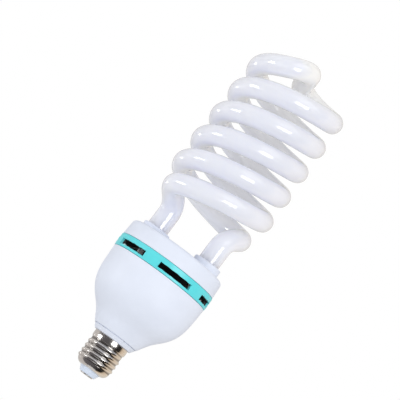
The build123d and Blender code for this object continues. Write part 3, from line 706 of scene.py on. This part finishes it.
FINISHES: dict[Slot, Finish] = {
    # The glass's shade colour is painted light on the coil's inner side, and the colour of its clouds.
    Slot.GLASS: CoatedGlassWithPaintedLight(
        (0.74, 0.765, 0.99), (0.96, 0.96, 0.96), 22.0, (0.32, 0.42), grain=9.0, depth=0.012,
        coat=1.0, coat_roughness=0.008, coat_ior=1.8, specular=0.2, glow_through=1.0, spread=24.0,
    ),
    # The white plastic's shade colour is painted shade on the inner side round the air space.
    Slot.WHITE: MouldedShellWithPaintedShade(
        (0.735, 0.78, 0.885), (0.06, 0.06, 0.065), 14.0, (0.42, 0.52), grain=0.7, depth=0.012, specular=0.35
    ),
    Slot.TURQUOISE: Finish((0.11, 0.71, 0.76), (0.10, 0.68, 0.73), 10.0, (0.28, 0.38), depth=0.012),
    # The shell's shade colour is painted shade in the thread's grooves, and the colour of its streaks.
    Slot.SHELL: PressedMetalWithPaintedShade(
        (0.84, 0.81, 0.77), (0.10, 0.085, 0.075), 5.0, (0.15, 0.23), 1.0, grain=0.8, depth=0.008
    ),
    Slot.INSULATOR: Finish((0.69, 0.77, 0.90), (0.65, 0.73, 0.86), 4.0, (0.30, 0.45), grain=0.5),
    Slot.CONTACT: Finish((0.80, 0.79, 0.78), (0.66, 0.65, 0.63), 1.6, (0.42, 0.58), 1.0, grain=0.7, depth=0.03),
    Slot.CEMENT: Finish((0.72, 0.71, 0.67), (0.62, 0.60, 0.55), 2.0, (0.8, 0.95), grain=0.3, depth=0.1),
    Slot.LAMINATE: Finish((0.44, 0.31, 0.13), (0.36, 0.25, 0.10), 3.0, (0.42, 0.6), grain=0.4),
    Slot.SLEEVE: Finish((0.02, 0.03, 0.05), (0.03, 0.04, 0.07), 5.0, (0.25, 0.4), grain=1.2),
    Slot.FERRITE: Finish((0.05, 0.05, 0.055), (0.09, 0.085, 0.08), 1.2, (0.5, 0.75), grain=0.25, depth=0.05),
    Slot.BOBBIN: Finish((0.03, 0.03, 0.03), (0.05, 0.05, 0.05), 4.0, (0.4, 0.55)),
    # The copper's shade colour is painted shade between the turns.
    Slot.COPPER: WoundWire((0.70, 0.27, 0.10), (0.25, 0.08, 0.03), 3.0, (0.22, 0.35), 0.8, depth=0.2, coat=0.6),
    Slot.FILM: Finish((0.40, 0.06, 0.03), (0.33, 0.05, 0.02), 4.0, (0.25, 0.4), grain=1.0, depth=0.03),
    Slot.EPOXY: Finish((0.02, 0.02, 0.022), (0.035, 0.035, 0.035), 2.0, (0.5, 0.7), grain=0.2, depth=0.03),
    Slot.RESISTOR: Finish((0.50, 0.40, 0.24), (0.44, 0.34, 0.20), 1.5, grain=0.4),
    Slot.DIODE: Finish((0.05, 0.045, 0.04), (0.10, 0.09, 0.08), 1.5, (0.2, 0.35), grain=0.5, coat=0.8),
    Slot.THERMISTOR: Finish((0.06, 0.14, 0.07), (0.05, 0.11, 0.06), 1.5, (0.4, 0.6), grain=0.4),
    Slot.TIN: Finish((0.68, 0.68, 0.67), (0.52, 0.52, 0.50), 1.0, (0.25, 0.45), 1.0, grain=0.3),
    Slot.WIRE: Finish((0.55, 0.04, 0.03), (0.50, 0.04, 0.03), 5.0, grain=0.8),
}


class Dresser:
    """Makes each material once and puts it on pieces and on nodes of the CAD model."""

    def __init__(self) -> None:
        """Start with no materials."""
        self.made: dict[Slot, bpy.types.Material] = {}

    def material(self, slot: Slot) -> bpy.types.Material:
        """The material of a slot."""
        if slot not in self.made:
            self.made[slot] = FINISHES[slot].material(slot.value)
        return self.made[slot]

    def piece(self, piece: bpy.types.Object, slot: Slot, *nodes: str) -> None:
        """Dress a new piece, let it stand for its CAD nodes and ride on the lamp.

        Args:
            piece: The new piece.
            slot: Its material slot.
            nodes: The CAD nodes that it replaces.
        """
        piece.data.materials.clear()
        piece.data.materials.append(self.material(slot))
        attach(piece, "root")
        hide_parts(*nodes)
        log.info("%s: %d faces", piece.name, len(piece.data.polygons))

    def nodes(self, slot: Slot, *names: str) -> None:
        """Give CAD nodes their material."""
        for name in names:
            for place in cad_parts[name].material_slots:
                place.material = self.material(slot)
            log.info("%s keeps its CAD shape", name)


# Sub-assemblies


@dataclass
class ScrewCap:
    """Threaded metal shell, the insulator in its mouth and the centre contact."""

    shell_foot: float = 4.4
    mouth_radius: float = 7.6
    rim_radius: float = 8.2
    shoulder_bulge: float = 0.95
    thread_foot: float = 8.5
    thread_top: float = 23.68
    root_radius: float = 12.2
    crest_radius: float = 13.15
    pitch: float = 3.629
    start: float = 0.3
    turns: float = 3.95
    first_crest: float = 7.66
    run_out: float = 0.22
    thread_rows: int = 110
    skirt_foot: float = 24.38
    skirt_radius: float = 12.9
    skirt_bulge: float = 0.2
    flare_edge: float = 0.5
    flare_reach: float = 0.3
    shell_top: float = 29.0
    wall: float = 0.4
    insulator_foot_radius: float = 5.75
    insulator_rim_radius: float = 7.55
    flange_radius: float = 8.0
    flange_height: float = 2.0
    boss_radius: float = 3.2
    boss_height: float = 1.2
    contact_radius: float = 4.75
    contact_thickness: float = 0.7
    contact_edge: float = 0.25
    rivet_radius: float = 1.5
    rivet_height: float = 8.5
    rivet_bore: float = 0.7

    def shell_face(self, inset: float) -> np.ndarray:
        """Outline of one face of the shell from its rim to its top edge, moved inwards by the inset."""
        root, waist = self.root_radius - inset, self.skirt_radius - inset
        rim = (self.rim_radius, self.shell_foot + inset)
        shoulder = bulged(rim, (root, self.thread_foot), self.shoulder_bulge, steps=14)
        barrel = upright(root, self.thread_foot, self.thread_top, self.thread_rows)
        corners = (
            (root, self.thread_top - 0.1, 0.02),
            (root, self.thread_top + 0.05, self.flare_edge),
            (waist, self.skirt_foot, self.flare_edge),
            (waist, self.shell_top, 0.02),
        )
        flare = trimmed(rounded(corners), 1, self.thread_top, self.skirt_foot + self.flare_reach)
        skirt = bulged(flare[-1], (waist, self.shell_top), self.skirt_bulge, steps=14)
        return spaced(np.concatenate((shoulder[:-1], barrel, flare[:-1], skirt)))

    def knuckle(self, turn: np.ndarray, height: np.ndarray) -> np.ndarray:
        """Height of the rolled thread over the root.

        The crest climbs one pitch a turn. A point at distance d along the axis from the nearest crest stands
        depth * cos(pi * d / pitch) ** 2 over the root, and the depth fades in and out over the run-outs.
        """
        count = (height - self.first_crest) / self.pitch - turn / FULL_TURN
        nearest = np.round(count)
        place = nearest + turn / FULL_TURN
        fade = np.clip(np.minimum(place - self.start, self.turns - place) / self.run_out + 0.5, 0, 1)
        ease = fade * fade * (3 - 2 * fade)
        depth = self.crest_radius - self.root_radius
        return depth * ease * np.cos(math.pi * (count - nearest)) ** 2

    def shell(self) -> Shape:
        """The shell: its outer face upwards, its inner face downwards and the rim between them."""
        outer = self.shell_face(0.0)
        inner = self.shell_face(self.wall)[::-1]
        mouth = np.array([[self.mouth_radius, self.shell_foot + self.wall], [self.mouth_radius, self.shell_foot]])
        outline = np.concatenate((outer, inner, mouth))
        heights = outline[:, 1]
        threaded = (heights >= self.thread_foot) & (heights <= self.thread_top) & (outline[:, 0] > self.rim_radius)
        return revolved(outline, sides=180, swell=lambda turn, row: self.knuckle(turn, heights[row]) * threaded[row])

    def insulator(self) -> Shape:
        """The insulator: a cone below the shell and a flange inside its rim."""
        bore = self.rivet_radius + 0.05
        flange_foot = self.shell_foot + self.wall
        flange_top = flange_foot + self.flange_height
        corners = (
            (bore, self.contact_thickness, 0.1),
            (self.insulator_foot_radius, self.contact_thickness, 0.5),
            (self.insulator_rim_radius, self.shell_foot - 0.1, 0.3),
            (self.insulator_rim_radius, flange_foot, 0.04),
            (self.flange_radius, flange_foot, 0.04),
            (self.flange_radius, flange_top, 0.3),
            (self.boss_radius, flange_top, 0.3),
            (self.boss_radius, flange_top + self.boss_height, 0.3),
            (bore, flange_top + self.boss_height, 0.1),
        )
        return revolved(rounded(corners), sides=120)

    def contact(self) -> Shape:
        """The contact: a disc with a soft edge and its hollow rivet, on the axis at both ends of the outline."""
        rivet_top = self.contact_thickness + self.rivet_height
        corners = (
            (0, 0, 0),
            (self.contact_radius, 0, self.contact_edge),
            (self.contact_radius, self.contact_thickness, 0.12),
            (self.rivet_radius, self.contact_thickness, 0.05),
            (self.rivet_radius, rivet_top, 0.15),
            (self.rivet_bore, rivet_top, 0.15),
            (self.rivet_bore, self.contact_thickness, 0.1),
            (0, self.contact_thickness, 0),
        )
        return revolved(rounded(corners), sides=96)

    def build(self, dresser: Dresser) -> None:
        """Build and dress the three pieces."""
        dresser.piece(self.shell().as_object("threaded_shell", crease=60), Slot.SHELL, "screw_shell")
        dresser.piece(self.insulator().as_object("mouth_insulator"), Slot.INSULATOR, "base_insulator")
        dresser.piece(self.contact().as_object("contact_disc"), Slot.CONTACT, "centre_contact")


@dataclass
class Housing:
    """White lower housing and the turquoise vent ring round its collar."""

    neck_radius: float = 12.45
    neck_tip_radius: float = 11.75
    neck_bore: float = 10.55
    neck_foot: float = 19.0
    neck_shoulder: float = 24.43
    neck_top: float = 29.0
    neck_ring_radius: float = 14.45
    neck_ring_flare: float = 2.1
    seam_height: float = 0.42
    seam_depth: float = 0.9
    bowl: tuple[tuple[float, float], ...] = (
        (17.0, 32.45),
        (22.3, 40.9),
        (29.9, 49.5),
        (35.0, 59.3),
        (36.5, 69.5),
        (37.1, 81.3),
    )
    bowl_ways: tuple[tuple[float, float], ...] = ((1.0, 1.5), (0.05, 1.0))
    wall: float = 2.0
    collar_radius: float = 35.8
    collar_bore: float = 34.3
    collar_root: float = 79.3
    collar_top: float = 97.0
    rim_height: float = 0.6
    root_gap: float = 1.0
    tail: float = 0.5
    ring_radius: float = 37.35
    ring_wall: float = 1.5
    ring_foot: float = 81.3
    ring_top: float = 90.9
    ring_edge: float = 0.35
    edge_share: float = 0.3
    ring_gap: float = 0.2
    slot_foot: float = 83.2
    slot_height: float = 4.1
    ring_slot_arc: float = 41.0
    collar_slot_arc: float = 44.0
    slot_count: int = 6
    slot_angle: float = -78.0
    slot_edge: float = 0.18

    def slotted(self, outer: Sequence[np.ndarray], inner: Sequence[np.ndarray], arc: float) -> Shape:
        """A band between the two joined outlines, with a slot of the given arc in each part of its round."""
        middles = [self.slot_angle + 360 * number / self.slot_count for number in range(self.slot_count)]
        faces = np.concatenate(outer), np.concatenate(inner)
        return SlottedBand(*faces, self.slot_foot, self.slot_height, middles, arc).shape()

    def slot_rows(self, radius: float) -> np.ndarray:
        """Rows of the grid between the slots' lower and upper edge, at one radius."""
        return upright(radius, self.slot_foot, self.slot_foot + self.slot_height, rows=4)

    def body(self) -> Shape:
        """The housing: neck, bowl and slotted collar in one closed wall; inside, the bowl's line moves inwards."""
        bowl = clamped_spline(self.bowl, self.bowl_ways, steps=14)
        way = unit(np.gradient(bowl, axis=0))
        bowl_inside = bowl + self.wall * np.stack((-way[:, 1], way[:, 0]), axis=1)
        foot_radius, foot_height = self.bowl[0]
        seam_foot = foot_height - self.seam_height
        seam_root = foot_radius - self.seam_depth - self.seam_height
        corners = (
            (self.neck_radius - self.tail, self.neck_top, 0.01),
            (self.neck_ring_radius, self.neck_top, 0.35),
            (self.neck_ring_radius + self.neck_ring_flare, seam_foot, 0.12),
            (seam_root, seam_foot, 0.03),
            (seam_root, foot_height, 0.03),
            (foot_radius, foot_height, 0.01),
        )
        foot = trimmed(rounded(corners), 0, self.neck_radius, foot_radius - self.tail)
        rim_foot = self.ring_foot - self.rim_height
        corners = (
            (self.bowl[-1][0], rim_foot - self.tail, 0.01),
            (*self.bowl[-1], 0.3),
            (self.collar_radius, self.ring_foot, 0.15),
            (self.collar_radius, self.slot_foot, 0.01),
        )
        rim = trimmed(rounded(corners), 1, rim_foot, self.slot_foot - self.tail)
        outer = (
            [(self.neck_radius, self.neck_top)],
            foot,
            trimmed(bowl, 1, 0, rim_foot),
            rim,
            self.slot_rows(self.collar_radius),
            [(self.collar_radius, self.collar_top)],
        )
        inner = (
            [(self.collar_bore, self.collar_top)],
            self.slot_rows(self.collar_bore)[::-1],
            [(self.collar_bore, self.collar_root)],
            trimmed(trimmed(bowl_inside, 0, self.neck_bore, math.inf), 1, 0, self.collar_root - self.root_gap)[::-1],
            [(self.neck_bore, foot_height), (self.neck_bore, self.neck_foot)],
            [(self.neck_tip_radius, self.neck_foot), (self.neck_tip_radius, self.neck_shoulder)],
            [(self.neck_radius, self.neck_shoulder)],
        )
        return self.slotted(outer, inner, self.collar_slot_arc)

    def ring(self) -> Shape:
        """The vent ring: a band with soft outer corners and a slot in each sixth of it."""
        edge, soft = self.ring_edge, self.edge_share * self.ring_edge
        foot, top = self.ring_foot + self.ring_gap, self.ring_top - self.ring_gap
        radius, bore = self.ring_radius, self.ring_radius - self.ring_wall
        outer = (
            [(bore, foot), (radius - edge, foot), (radius - soft, foot + soft), (radius, foot + edge)],
            self.slot_rows(radius),
            [(radius, top - edge), (radius - soft, top - soft), (radius - edge, top), (bore, top)],
        )
        return self.slotted(outer, (self.slot_rows(bore)[::-1],), self.ring_slot_arc)

    def build(self, dresser: Dresser) -> None:
        """Build and dress the housing and the ring."""
        body = eased(self.body().as_object("ballast_housing"), self.slot_edge)
        dresser.piece(body, Slot.WHITE, "lower_housing")
        ring = eased(self.ring().as_object("slotted_ring"), self.slot_edge)
        dresser.piece(ring, Slot.TURQUOISE, "vent_ring")


@dataclass
class TopCover:
    """White cover over the collar, with a socket round each leg of the glass."""

    foot: float = 90.9
    top: float = 102.9
    foot_radius: float = 37.1
    top_radius: float = 36.3
    edge: float = 2.6
    foot_edge: float = 0.3
    wall: float = 2.0
    top_wall: float = 2.2
    collar_radius: float = 35.85
    collar_lap: float = 6.1
    socket_radius: float = 10.15
    socket_foot: float = 96.3
    socket_top: float = 107.9
    socket_edge: float = 0.6
    socket_root: float = 0.8
    root_depths: tuple[float, float, float] = (1.4, 1.2, 0.02)
    root_height: float = 0.05
    socket_lip: float = 3.5
    lip_radius: float = 8.1
    socket_bore: float = 9.05
    bore_reach: float = 2.0
    mouth_reach: float = 0.2
    mouth_flare: float = 0.6
    mouth_depth: float = 0.3
    legs: tuple[tuple[float, float], ...] = ((20.5, -9.0), (-20.5, 9.0))

    def cap(self) -> Shape:
        """The cap: a shallow cup, open below, on the axis at both ends of its outline."""
        ledge = self.foot + self.collar_lap
        ceiling, bore = self.top - self.top_wall, self.top_radius - self.wall
        corners = (
            (0, ceiling, 0),
            (bore, ceiling, 0.8),
            (bore, ledge, 0.05),
            (self.collar_radius, ledge, 0.05),
            (self.collar_radius, self.foot, 0.15),
            (self.foot_radius, self.foot, self.foot_edge),
            (self.top_radius, self.top, self.edge),
            (0, self.top, 0),
        )
        return revolved(rounded(corners, steps=8), sides=160)

    def socket(self) -> Shape:
        """A solid post where a socket stands, with a fillet where it meets the cap."""
        radius, root = self.socket_radius, self.socket_radius + self.socket_root
        low, wide, high = (self.top - depth for depth in self.root_depths)
        corners = (
            (0, self.socket_foot, 0),
            (radius, self.socket_foot, 0.3),
            (radius, low, 0.1),
            (root, wide, 0.1),
            (root, high, 0.1),
            (radius, self.top + self.root_height, self.socket_root),
            (radius, self.socket_top, self.socket_edge),
            (0, self.socket_top, 0),
        )
        return revolved(rounded(corners, steps=6), sides=72)

    def bore(self) -> Shape:
        """What is cut out of a socket: a wide bore below, a lip and a soft mouth."""
        foot, mouth = self.socket_foot - self.bore_reach, self.socket_top + self.mouth_reach
        lip = self.socket_top - self.socket_lip
        corners = (
            (0, foot, 0),
            (self.socket_bore, foot, 0.1),
            (self.socket_bore, lip, 0.1),
            (self.lip_radius, lip, 0.1),
            (self.lip_radius, self.socket_top - self.mouth_depth, 0.4),
            (self.lip_radius + self.mouth_flare, mouth, 0.05),
            (0, mouth, 0),
        )
        return revolved(rounded(corners, steps=4), sides=72)

    def on_legs(self, shape: Shape) -> Shape:
        """The shape once at each leg."""
        first, second = (shape.moved((*leg, 0)) for leg in self.legs)
        return first + second

    def build(self, dresser: Dresser) -> None:
        """Build and dress the cover."""
        cover = self.cap().as_object("socket_cover")
        combined(cover, self.on_legs(self.socket()).as_object("posts"), "UNION")
        combined(cover, self.on_legs(self.bore()).as_object("bores"), "DIFFERENCE")
        cover.data.set_sharp_from_angle(angle=math.radians(CREASE))
        dresser.piece(flattened(cover), Slot.WHITE, "top_cover")


@dataclass
class GlassSpiral:
    """The glass tube: two legs, two coiled arms and the crossing between them, one sealed piece."""

    tube_radius: float = 7.35
    leg_radius: float = 7.8
    leg_x: float = 20.5
    leg_y: float = -9.0
    leg_foot: float = 94.9
    leg_edge: float = 3.0
    leg_top: float = 120.0
    tip_radius: float = 2.2
    tip_length: float = 8.0
    end_length: float = 8.0
    elbow_length: float = 38.0
    lead: float = 41.1
    turns: float = 2.514
    foot_radius: float = 33.6
    top_radius: float = 31.3
    coil_foot: float = 137.6
    start_angle: float = 40.0
    rise_pull: float = 14.0
    turn_pull: float = 16.0
    crossing: float = 248.6
    crossing_half: float = 12.0
    crossing_slope: float = 0.13
    in_pull: float = 14.0
    out_pull: float = 11.0
    core_top: float = 226.0
    step: float = 1.2
    sides: int = 48
    coil_points: int = 900

    @staticmethod
    def bezier(points: Sequence[np.ndarray], steps: int = 80) -> np.ndarray:
        """Cubic Bezier curve: the four points weighted by (1-t)^3, 3t(1-t)^2, 3t^2(1-t) and t^3."""
        t = np.linspace(0, 1, steps)[:, None]
        a, b, c, d = points
        return (1 - t) ** 3 * a + 3 * t * (1 - t) ** 2 * b + 3 * t**2 * (1 - t) * c + t**3 * d

    def coil(self) -> tuple[np.ndarray, np.ndarray, np.ndarray]:
        """Helix of one arm, its radius falling evenly from foot to top.

        Returns:
            Its points, and its unit tangents at the foot and at the top.
        """
        share = np.linspace(0, 1, self.coil_points)
        angle = math.radians(self.start_angle) + FULL_TURN * self.turns * share
        radius = self.foot_radius + (self.top_radius - self.foot_radius) * share
        height = self.coil_foot + self.lead * self.turns * share
        points = spun(radius, height, angle)
        ends = np.array([0, -1])
        shrink = (self.top_radius - self.foot_radius) / (FULL_TURN * self.turns)
        tangent = np.stack(
            (
                shrink * np.cos(angle[ends]) - radius[ends] * np.sin(angle[ends]),
                shrink * np.sin(angle[ends]) + radius[ends] * np.cos(angle[ends]),
                np.full(2, self.lead / FULL_TURN),
            ),
            axis=1,
        )
        first, last = unit(tangent)
        return points, first, last

    def arm(self, far: bool) -> np.ndarray:
        """Centreline of one arm: the elbow, the coil and the bend into its end of the crossing.

        Args:
            far: Whether it is the arm half a turn round the axis, which meets the far end of the crossing.

        Returns:
            Its points, from the leg upwards.
        """
        side = 1 if far else -1
        flip = np.array([-side, -side, 1])
        points, first, last = (value * flip for value in self.coil())
        top = flip * (self.leg_x, self.leg_y, self.leg_top)
        elbow = self.bezier((top, top + (0, 0, self.rise_pull), points[0] - first * self.turn_pull, points[0]))
        way = unit(np.array([0, 1, -self.crossing_slope])) * side
        end = np.array([0, 0, self.crossing]) + way * self.crossing_half
        bend = self.bezier((points[-1], points[-1] + last * self.in_pull, end + way * self.out_pull, end))
        return np.concatenate((elbow, points[1:], bend[1:]))

    def end_outline(self) -> np.ndarray:
        """Distance along the leg and radius from the tip of the exhaust tube to the full leg."""
        reach = self.tip_length + self.end_length
        corners = (
            (0, 0, 0),
            (0, self.tip_radius, 0.9),
            (self.tip_length, self.tip_radius, 1.0),
            (self.tip_length, self.leg_radius, self.leg_edge),
            (reach, self.leg_radius, 0),
            (reach, 0, 0),
        )
        outline = rounded(corners, steps=8)
        inner = outline[(outline[:, 1] > LEAST_STEP) & (outline[:, 0] < reach - LEAST_STEP)]
        return np.concatenate(([(0, 0)], inner))

    def tube(self) -> Shape:
        """The whole tube, carried along its centreline: point + radius * (cos(a) * side + sin(a) * cross).

        The side is the outward direction less its part along the centreline, and the cross is at right angles to
        both. The outward direction runs from the axis, and near the crossing from a point on the axis below it.
        """
        foot = self.leg_foot - self.tip_length
        first = np.array([[self.leg_x, self.leg_y, foot]])
        last = first * (-1, -1, 1)
        line = np.concatenate((first, self.arm(False), self.arm(True)[::-1], last))
        run = np.concatenate(([0], np.cumsum(np.linalg.norm(np.diff(line, axis=0), axis=1))))
        total = run[-1]
        end = self.end_outline()
        stations = np.arange(end[-1, 0] + self.step, total - end[-1, 0] - self.step / 2, self.step)
        elbow_start = self.leg_top - foot
        elbow_end = elbow_start + self.elbow_length
        near = np.minimum(stations, total - stations)
        widths = np.interp(near, (elbow_start, elbow_end), (self.leg_radius, self.tube_radius))
        place = np.concatenate((end[:, 0], stations, total - end[::-1, 0]))
        radius = np.concatenate((end[:, 1], widths, end[::-1, 1]))
        slopes = unit(np.gradient(line, axis=0))
        path, along = (
            np.stack([np.interp(place, run, values[:, axis]) for axis in range(3)], axis=1) for values in (line, slopes)
        )
        along = unit(along)
        outward = path * (1, 1, 0)
        outward[:, 2] = np.maximum(path[:, 2] - self.core_top, 0)
        side = unit(outward - (outward * along).sum(axis=1, keepdims=True) * along)
        cross = np.cross(along, side)
        angle = (np.arange(self.sides) * FULL_TURN / self.sides)[None, :, None]
        rings = path[:, None] + radius[:, None, None] * (np.cos(angle) * side[:, None] + np.sin(angle) * cross[:, None])
        quads = ring_quads(len(path) - 2, self.sides, closed=False).reshape(-1, 4)
        return with_poles(rings[1:-1].reshape(-1, 3), quads, self.sides, path[0], path[-1])

    def build(self, dresser: Dresser) -> None:
        """Build and dress the tube, and dress the cement round its legs."""
        dresser.piece(self.tube().as_object("glass_spiral", crease=70), Slot.GLASS, "spiral_tube")
        dresser.nodes(Slot.CEMENT, "tube_cement_1", "tube_cement_2")


@dataclass
class Ballast:
    """The circuit board and everything that stands on it, which keep their CAD shapes."""

    pieces: tuple[tuple[Slot, tuple[str, ...]], ...] = (
        (Slot.LAMINATE, ("circuit_board",)),
        (Slot.SLEEVE, ("bulk_capacitor_1", "bulk_capacitor_2")),
        (Slot.FERRITE, ("choke_core", "filter_choke_core", "drive_ring_core")),
        (Slot.BOBBIN, ("choke_bobbin",)),
        (Slot.COPPER, ("choke_winding", "filter_choke_winding", "drive_ring_windings")),
        (Slot.FILM, ("film_capacitor",)),
        (Slot.EPOXY, ("transistor_1", "transistor_2", "bridge_rectifier")),
        (Slot.RESISTOR, ("fuse_resistor", "base_resistors")),
        (Slot.DIODE, ("trigger_diode",)),
        (Slot.THERMISTOR, ("thermistor",)),
        (Slot.TIN, ("wrap_pins", "filament_leads")),
        (Slot.WIRE, ("supply_wire_middle", "supply_wire_side")),
    )

    def build(self, dresser: Dresser) -> None:
        """Dress each node."""
        for slot, names in self.pieces:
            dresser.nodes(slot, *names)


# Studio


@dataclass
class Softbox:
    """A soft lamp, aimed at the middle of the object.

    Args:
        name: Name of the lamp.
        azimuth: Degrees to the right of the direction towards the camera.
        elevation: Degrees above the level.
        width: Width in metres.
        height: Height in metres.
        power: Power in watts.
        distance: Distance in metres.
    """

    name: str
    azimuth: float
    elevation: float
    width: float
    height: float
    power: float
    distance: float = 1.3

    def build(self, aim: Vector) -> None:
        """Place the lamp."""
        light = bpy.data.lights.new(self.name, "AREA")
        light.shape = "RECTANGLE"
        light.size = self.width
        light.size_y = self.height
        light.energy = self.power
        azimuth, elevation = math.radians(self.azimuth), math.radians(self.elevation)
        way = Vector(
            (math.sin(azimuth) * math.cos(elevation), -math.cos(azimuth) * math.cos(elevation), math.sin(elevation))
        )
        lamp = linked(self.name, light)
        lamp.location = aim + way * self.distance
        lamp.rotation_euler = way.to_track_quat("Z", "Y").to_euler()


@dataclass
class Studio:
    """Camera, floor, lamps and background."""

    target: tuple[float, float, float] = (-9.2, 0.0, 139.7)
    distance: float = 1500.0
    look_up: float = 7.3
    roll: float = 36.87
    lens: float = 200.8
    sensor: float = 36.0
    floor_height: float = -350.0
    floor_half: float = 6000.0
    fill: float = 0.79
    softboxes: tuple[Softbox, ...] = (
        Softbox("right_softbox", 25, 2, 0.64, 0.55, 6.1),
        Softbox("left_softbox", -77, -11, 0.5, 0.3, 3.8),
        Softbox("far_softbox", -125, -18, 0.12, 0.14, 0.25, 0.9),
    )
    room: tuple[tuple[float, float], ...] = ((120.0, -345.0), (2600.0, -345.0), (2600.0, 4200.0), (10.0, 4200.0))
    room_sides: int = 96
    room_step: tuple[float, float] = (1100.0, 1700.0)
    upper_colours: tuple[tuple[float, Colour], ...] = (
        (-180, (0.74, 0.72, 0.70)),
        (-90, (0.74, 0.72, 0.72)),
        (-50, (0.50, 0.48, 0.48)),
        (-8, (0.42, 0.41, 0.42)),
        (0, (1.0, 1.0, 1.0)),
        (52, (1.0, 1.0, 1.0)),
        (60, (0.10, 0.09, 0.08)),
        (84, (0.16, 0.12, 0.09)),
        (92, (0.80, 0.66, 0.50)),
        (180, (0.74, 0.72, 0.68)),
    )
    room_colours: tuple[tuple[float, Colour], ...] = (
        (-180, (0.66, 0.65, 0.62)),
        (-150, (0.60, 0.57, 0.56)),
        (-100, (0.60, 0.57, 0.56)),
        (-90, (0.13, 0.12, 0.13)),
        (-5, (0.10, 0.095, 0.10)),
        (50, (0.015, 0.013, 0.012)),
        (82, (0.015, 0.013, 0.012)),
        (89, (0.70, 0.56, 0.42)),
        (125, (0.85, 0.74, 0.62)),
        (180, (0.66, 0.65, 0.62)),
    )

    def camera(self) -> None:
        """Camera below the lamp's middle, looking up at it and rolled about its own view."""
        rise, roll = math.radians(self.look_up), math.radians(self.roll)
        forward = Vector((0, math.cos(rise), math.sin(rise)))
        upward = Vector((0, -math.sin(rise), math.cos(rise)))
        sideways = Vector((1, 0, 0))
        right = sideways * math.cos(roll) + upward * math.sin(roll)
        up = upward * math.cos(roll) - sideways * math.sin(roll)
        place = (Vector(self.target) - forward * self.distance) * MILLIMETRE
        data = bpy.data.cameras.new("camera")
        data.sensor_width = self.sensor
        data.lens = self.lens
        camera = linked("camera", data)
        camera.matrix_world = Matrix.Translation(place) @ Matrix((right, up, -forward)).transposed().to_4x4()
        bpy.context.scene.camera = camera

    def floor(self) -> None:
        """A pale floor well below the lamp, because the camera looks up at it."""
        half, height = self.floor_half, self.floor_height
        points = np.array([(x * half, y * half, height) for x, y in ((-1, -1), (1, -1), (1, 1), (-1, 1))])
        floor = Shape(points, np.array([[0, 1, 2, 3]])).as_object("studio_floor")
        finish = Finish((0.74, 0.74, 0.74), (0.73, 0.73, 0.73), 400.0, (0.7, 0.8), grain=5.0, specular=0.0)
        floor.data.materials.append(finish.material(floor.name))

    def paint(self) -> bpy.types.Material:
        """Colours of the room by height and by the angle round the lamp, the arctangent of the level coordinates."""
        material = bpy.data.materials.new("studio_room")
        graph = Graph(material)
        sideways, away, height = graph.axes()
        turn = sideways.math("ARCTAN2", 0 - away) / FULL_TURN + 0.5
        lower, upper = (
            graph.add(
                "ShaderNodeValToRGB", {"stops": [(angle / 360 + 0.5, shade) for angle, shade in colours]}, {0: turn}
            ).outputs[0]
            for colours in (self.room_colours, self.upper_colours)
        )
        low, high = (level * MILLIMETRE for level in self.room_step)
        colour = graph.blend(height.between(low, high), lower, upper)
        black = (0.0, 0.0, 0.0)
        graph.surface(
            {"Base Color": black, "Specular IOR Level": 0.0, "Emission Color": colour, "Emission Strength": 1.0}
        )
        return material

    def walls(self) -> None:
        """The room round the lamp, a profile turned about the axis, which only reflections see."""
        radius, height = np.array(self.room).T[..., None]
        points = spun(radius, height, np.arange(self.room_sides) * FULL_TURN / self.room_sides)
        quads = ring_quads(len(self.room), self.room_sides, closed=False).reshape(-1, 4)
        wall = Shape(points.reshape(-1, 3), quads).as_object("studio_room")
        wall.data.materials.append(self.paint())
        for kind in ("camera", "diffuse", "transmission", "shadow"):
            setattr(wall, f"visible_{kind}", False)

    def background(self) -> None:
        """White where the camera or a reflection sees it, and an even fill of light elsewhere."""
        world = bpy.data.worlds.new("studio")
        graph = Graph(world)
        path = graph.add("ShaderNodeLightPath")
        seen = Signal(graph, path.outputs["Is Camera Ray"])
        for name in ("Is Glossy Ray", "Is Transmission Ray"):
            seen = seen.larger(Signal(graph, path.outputs[name]))
        strength = seen * (1 - self.fill) + self.fill
        light = graph.add("ShaderNodeBackground", None, {"Color": (1.0, 1.0, 1.0), "Strength": strength})
        graph.add("ShaderNodeOutputWorld", None, {"Surface": light.outputs[0]})
        bpy.context.scene.world = world

    def build(self) -> None:
        """Set up the studio."""
        self.camera()
        self.floor()
        self.walls()
        self.background()
        for softbox in self.softboxes:
            softbox.build(Vector(self.target) * MILLIMETRE)
        bpy.context.scene.view_settings.view_transform = "Standard"


def main() -> None:
    """Build the lamp's pieces and the studio in order."""
    logging.basicConfig(level=logging.INFO, format="%(message)s")
    Studio().build()
    dresser = Dresser()
    for part in (GlassSpiral(), TopCover(), Housing(), ScrewCap(), Ballast()):
        part.build(dresser)
        log.info("%s done", type(part).__name__)


if __name__ == "__main__":
    main()
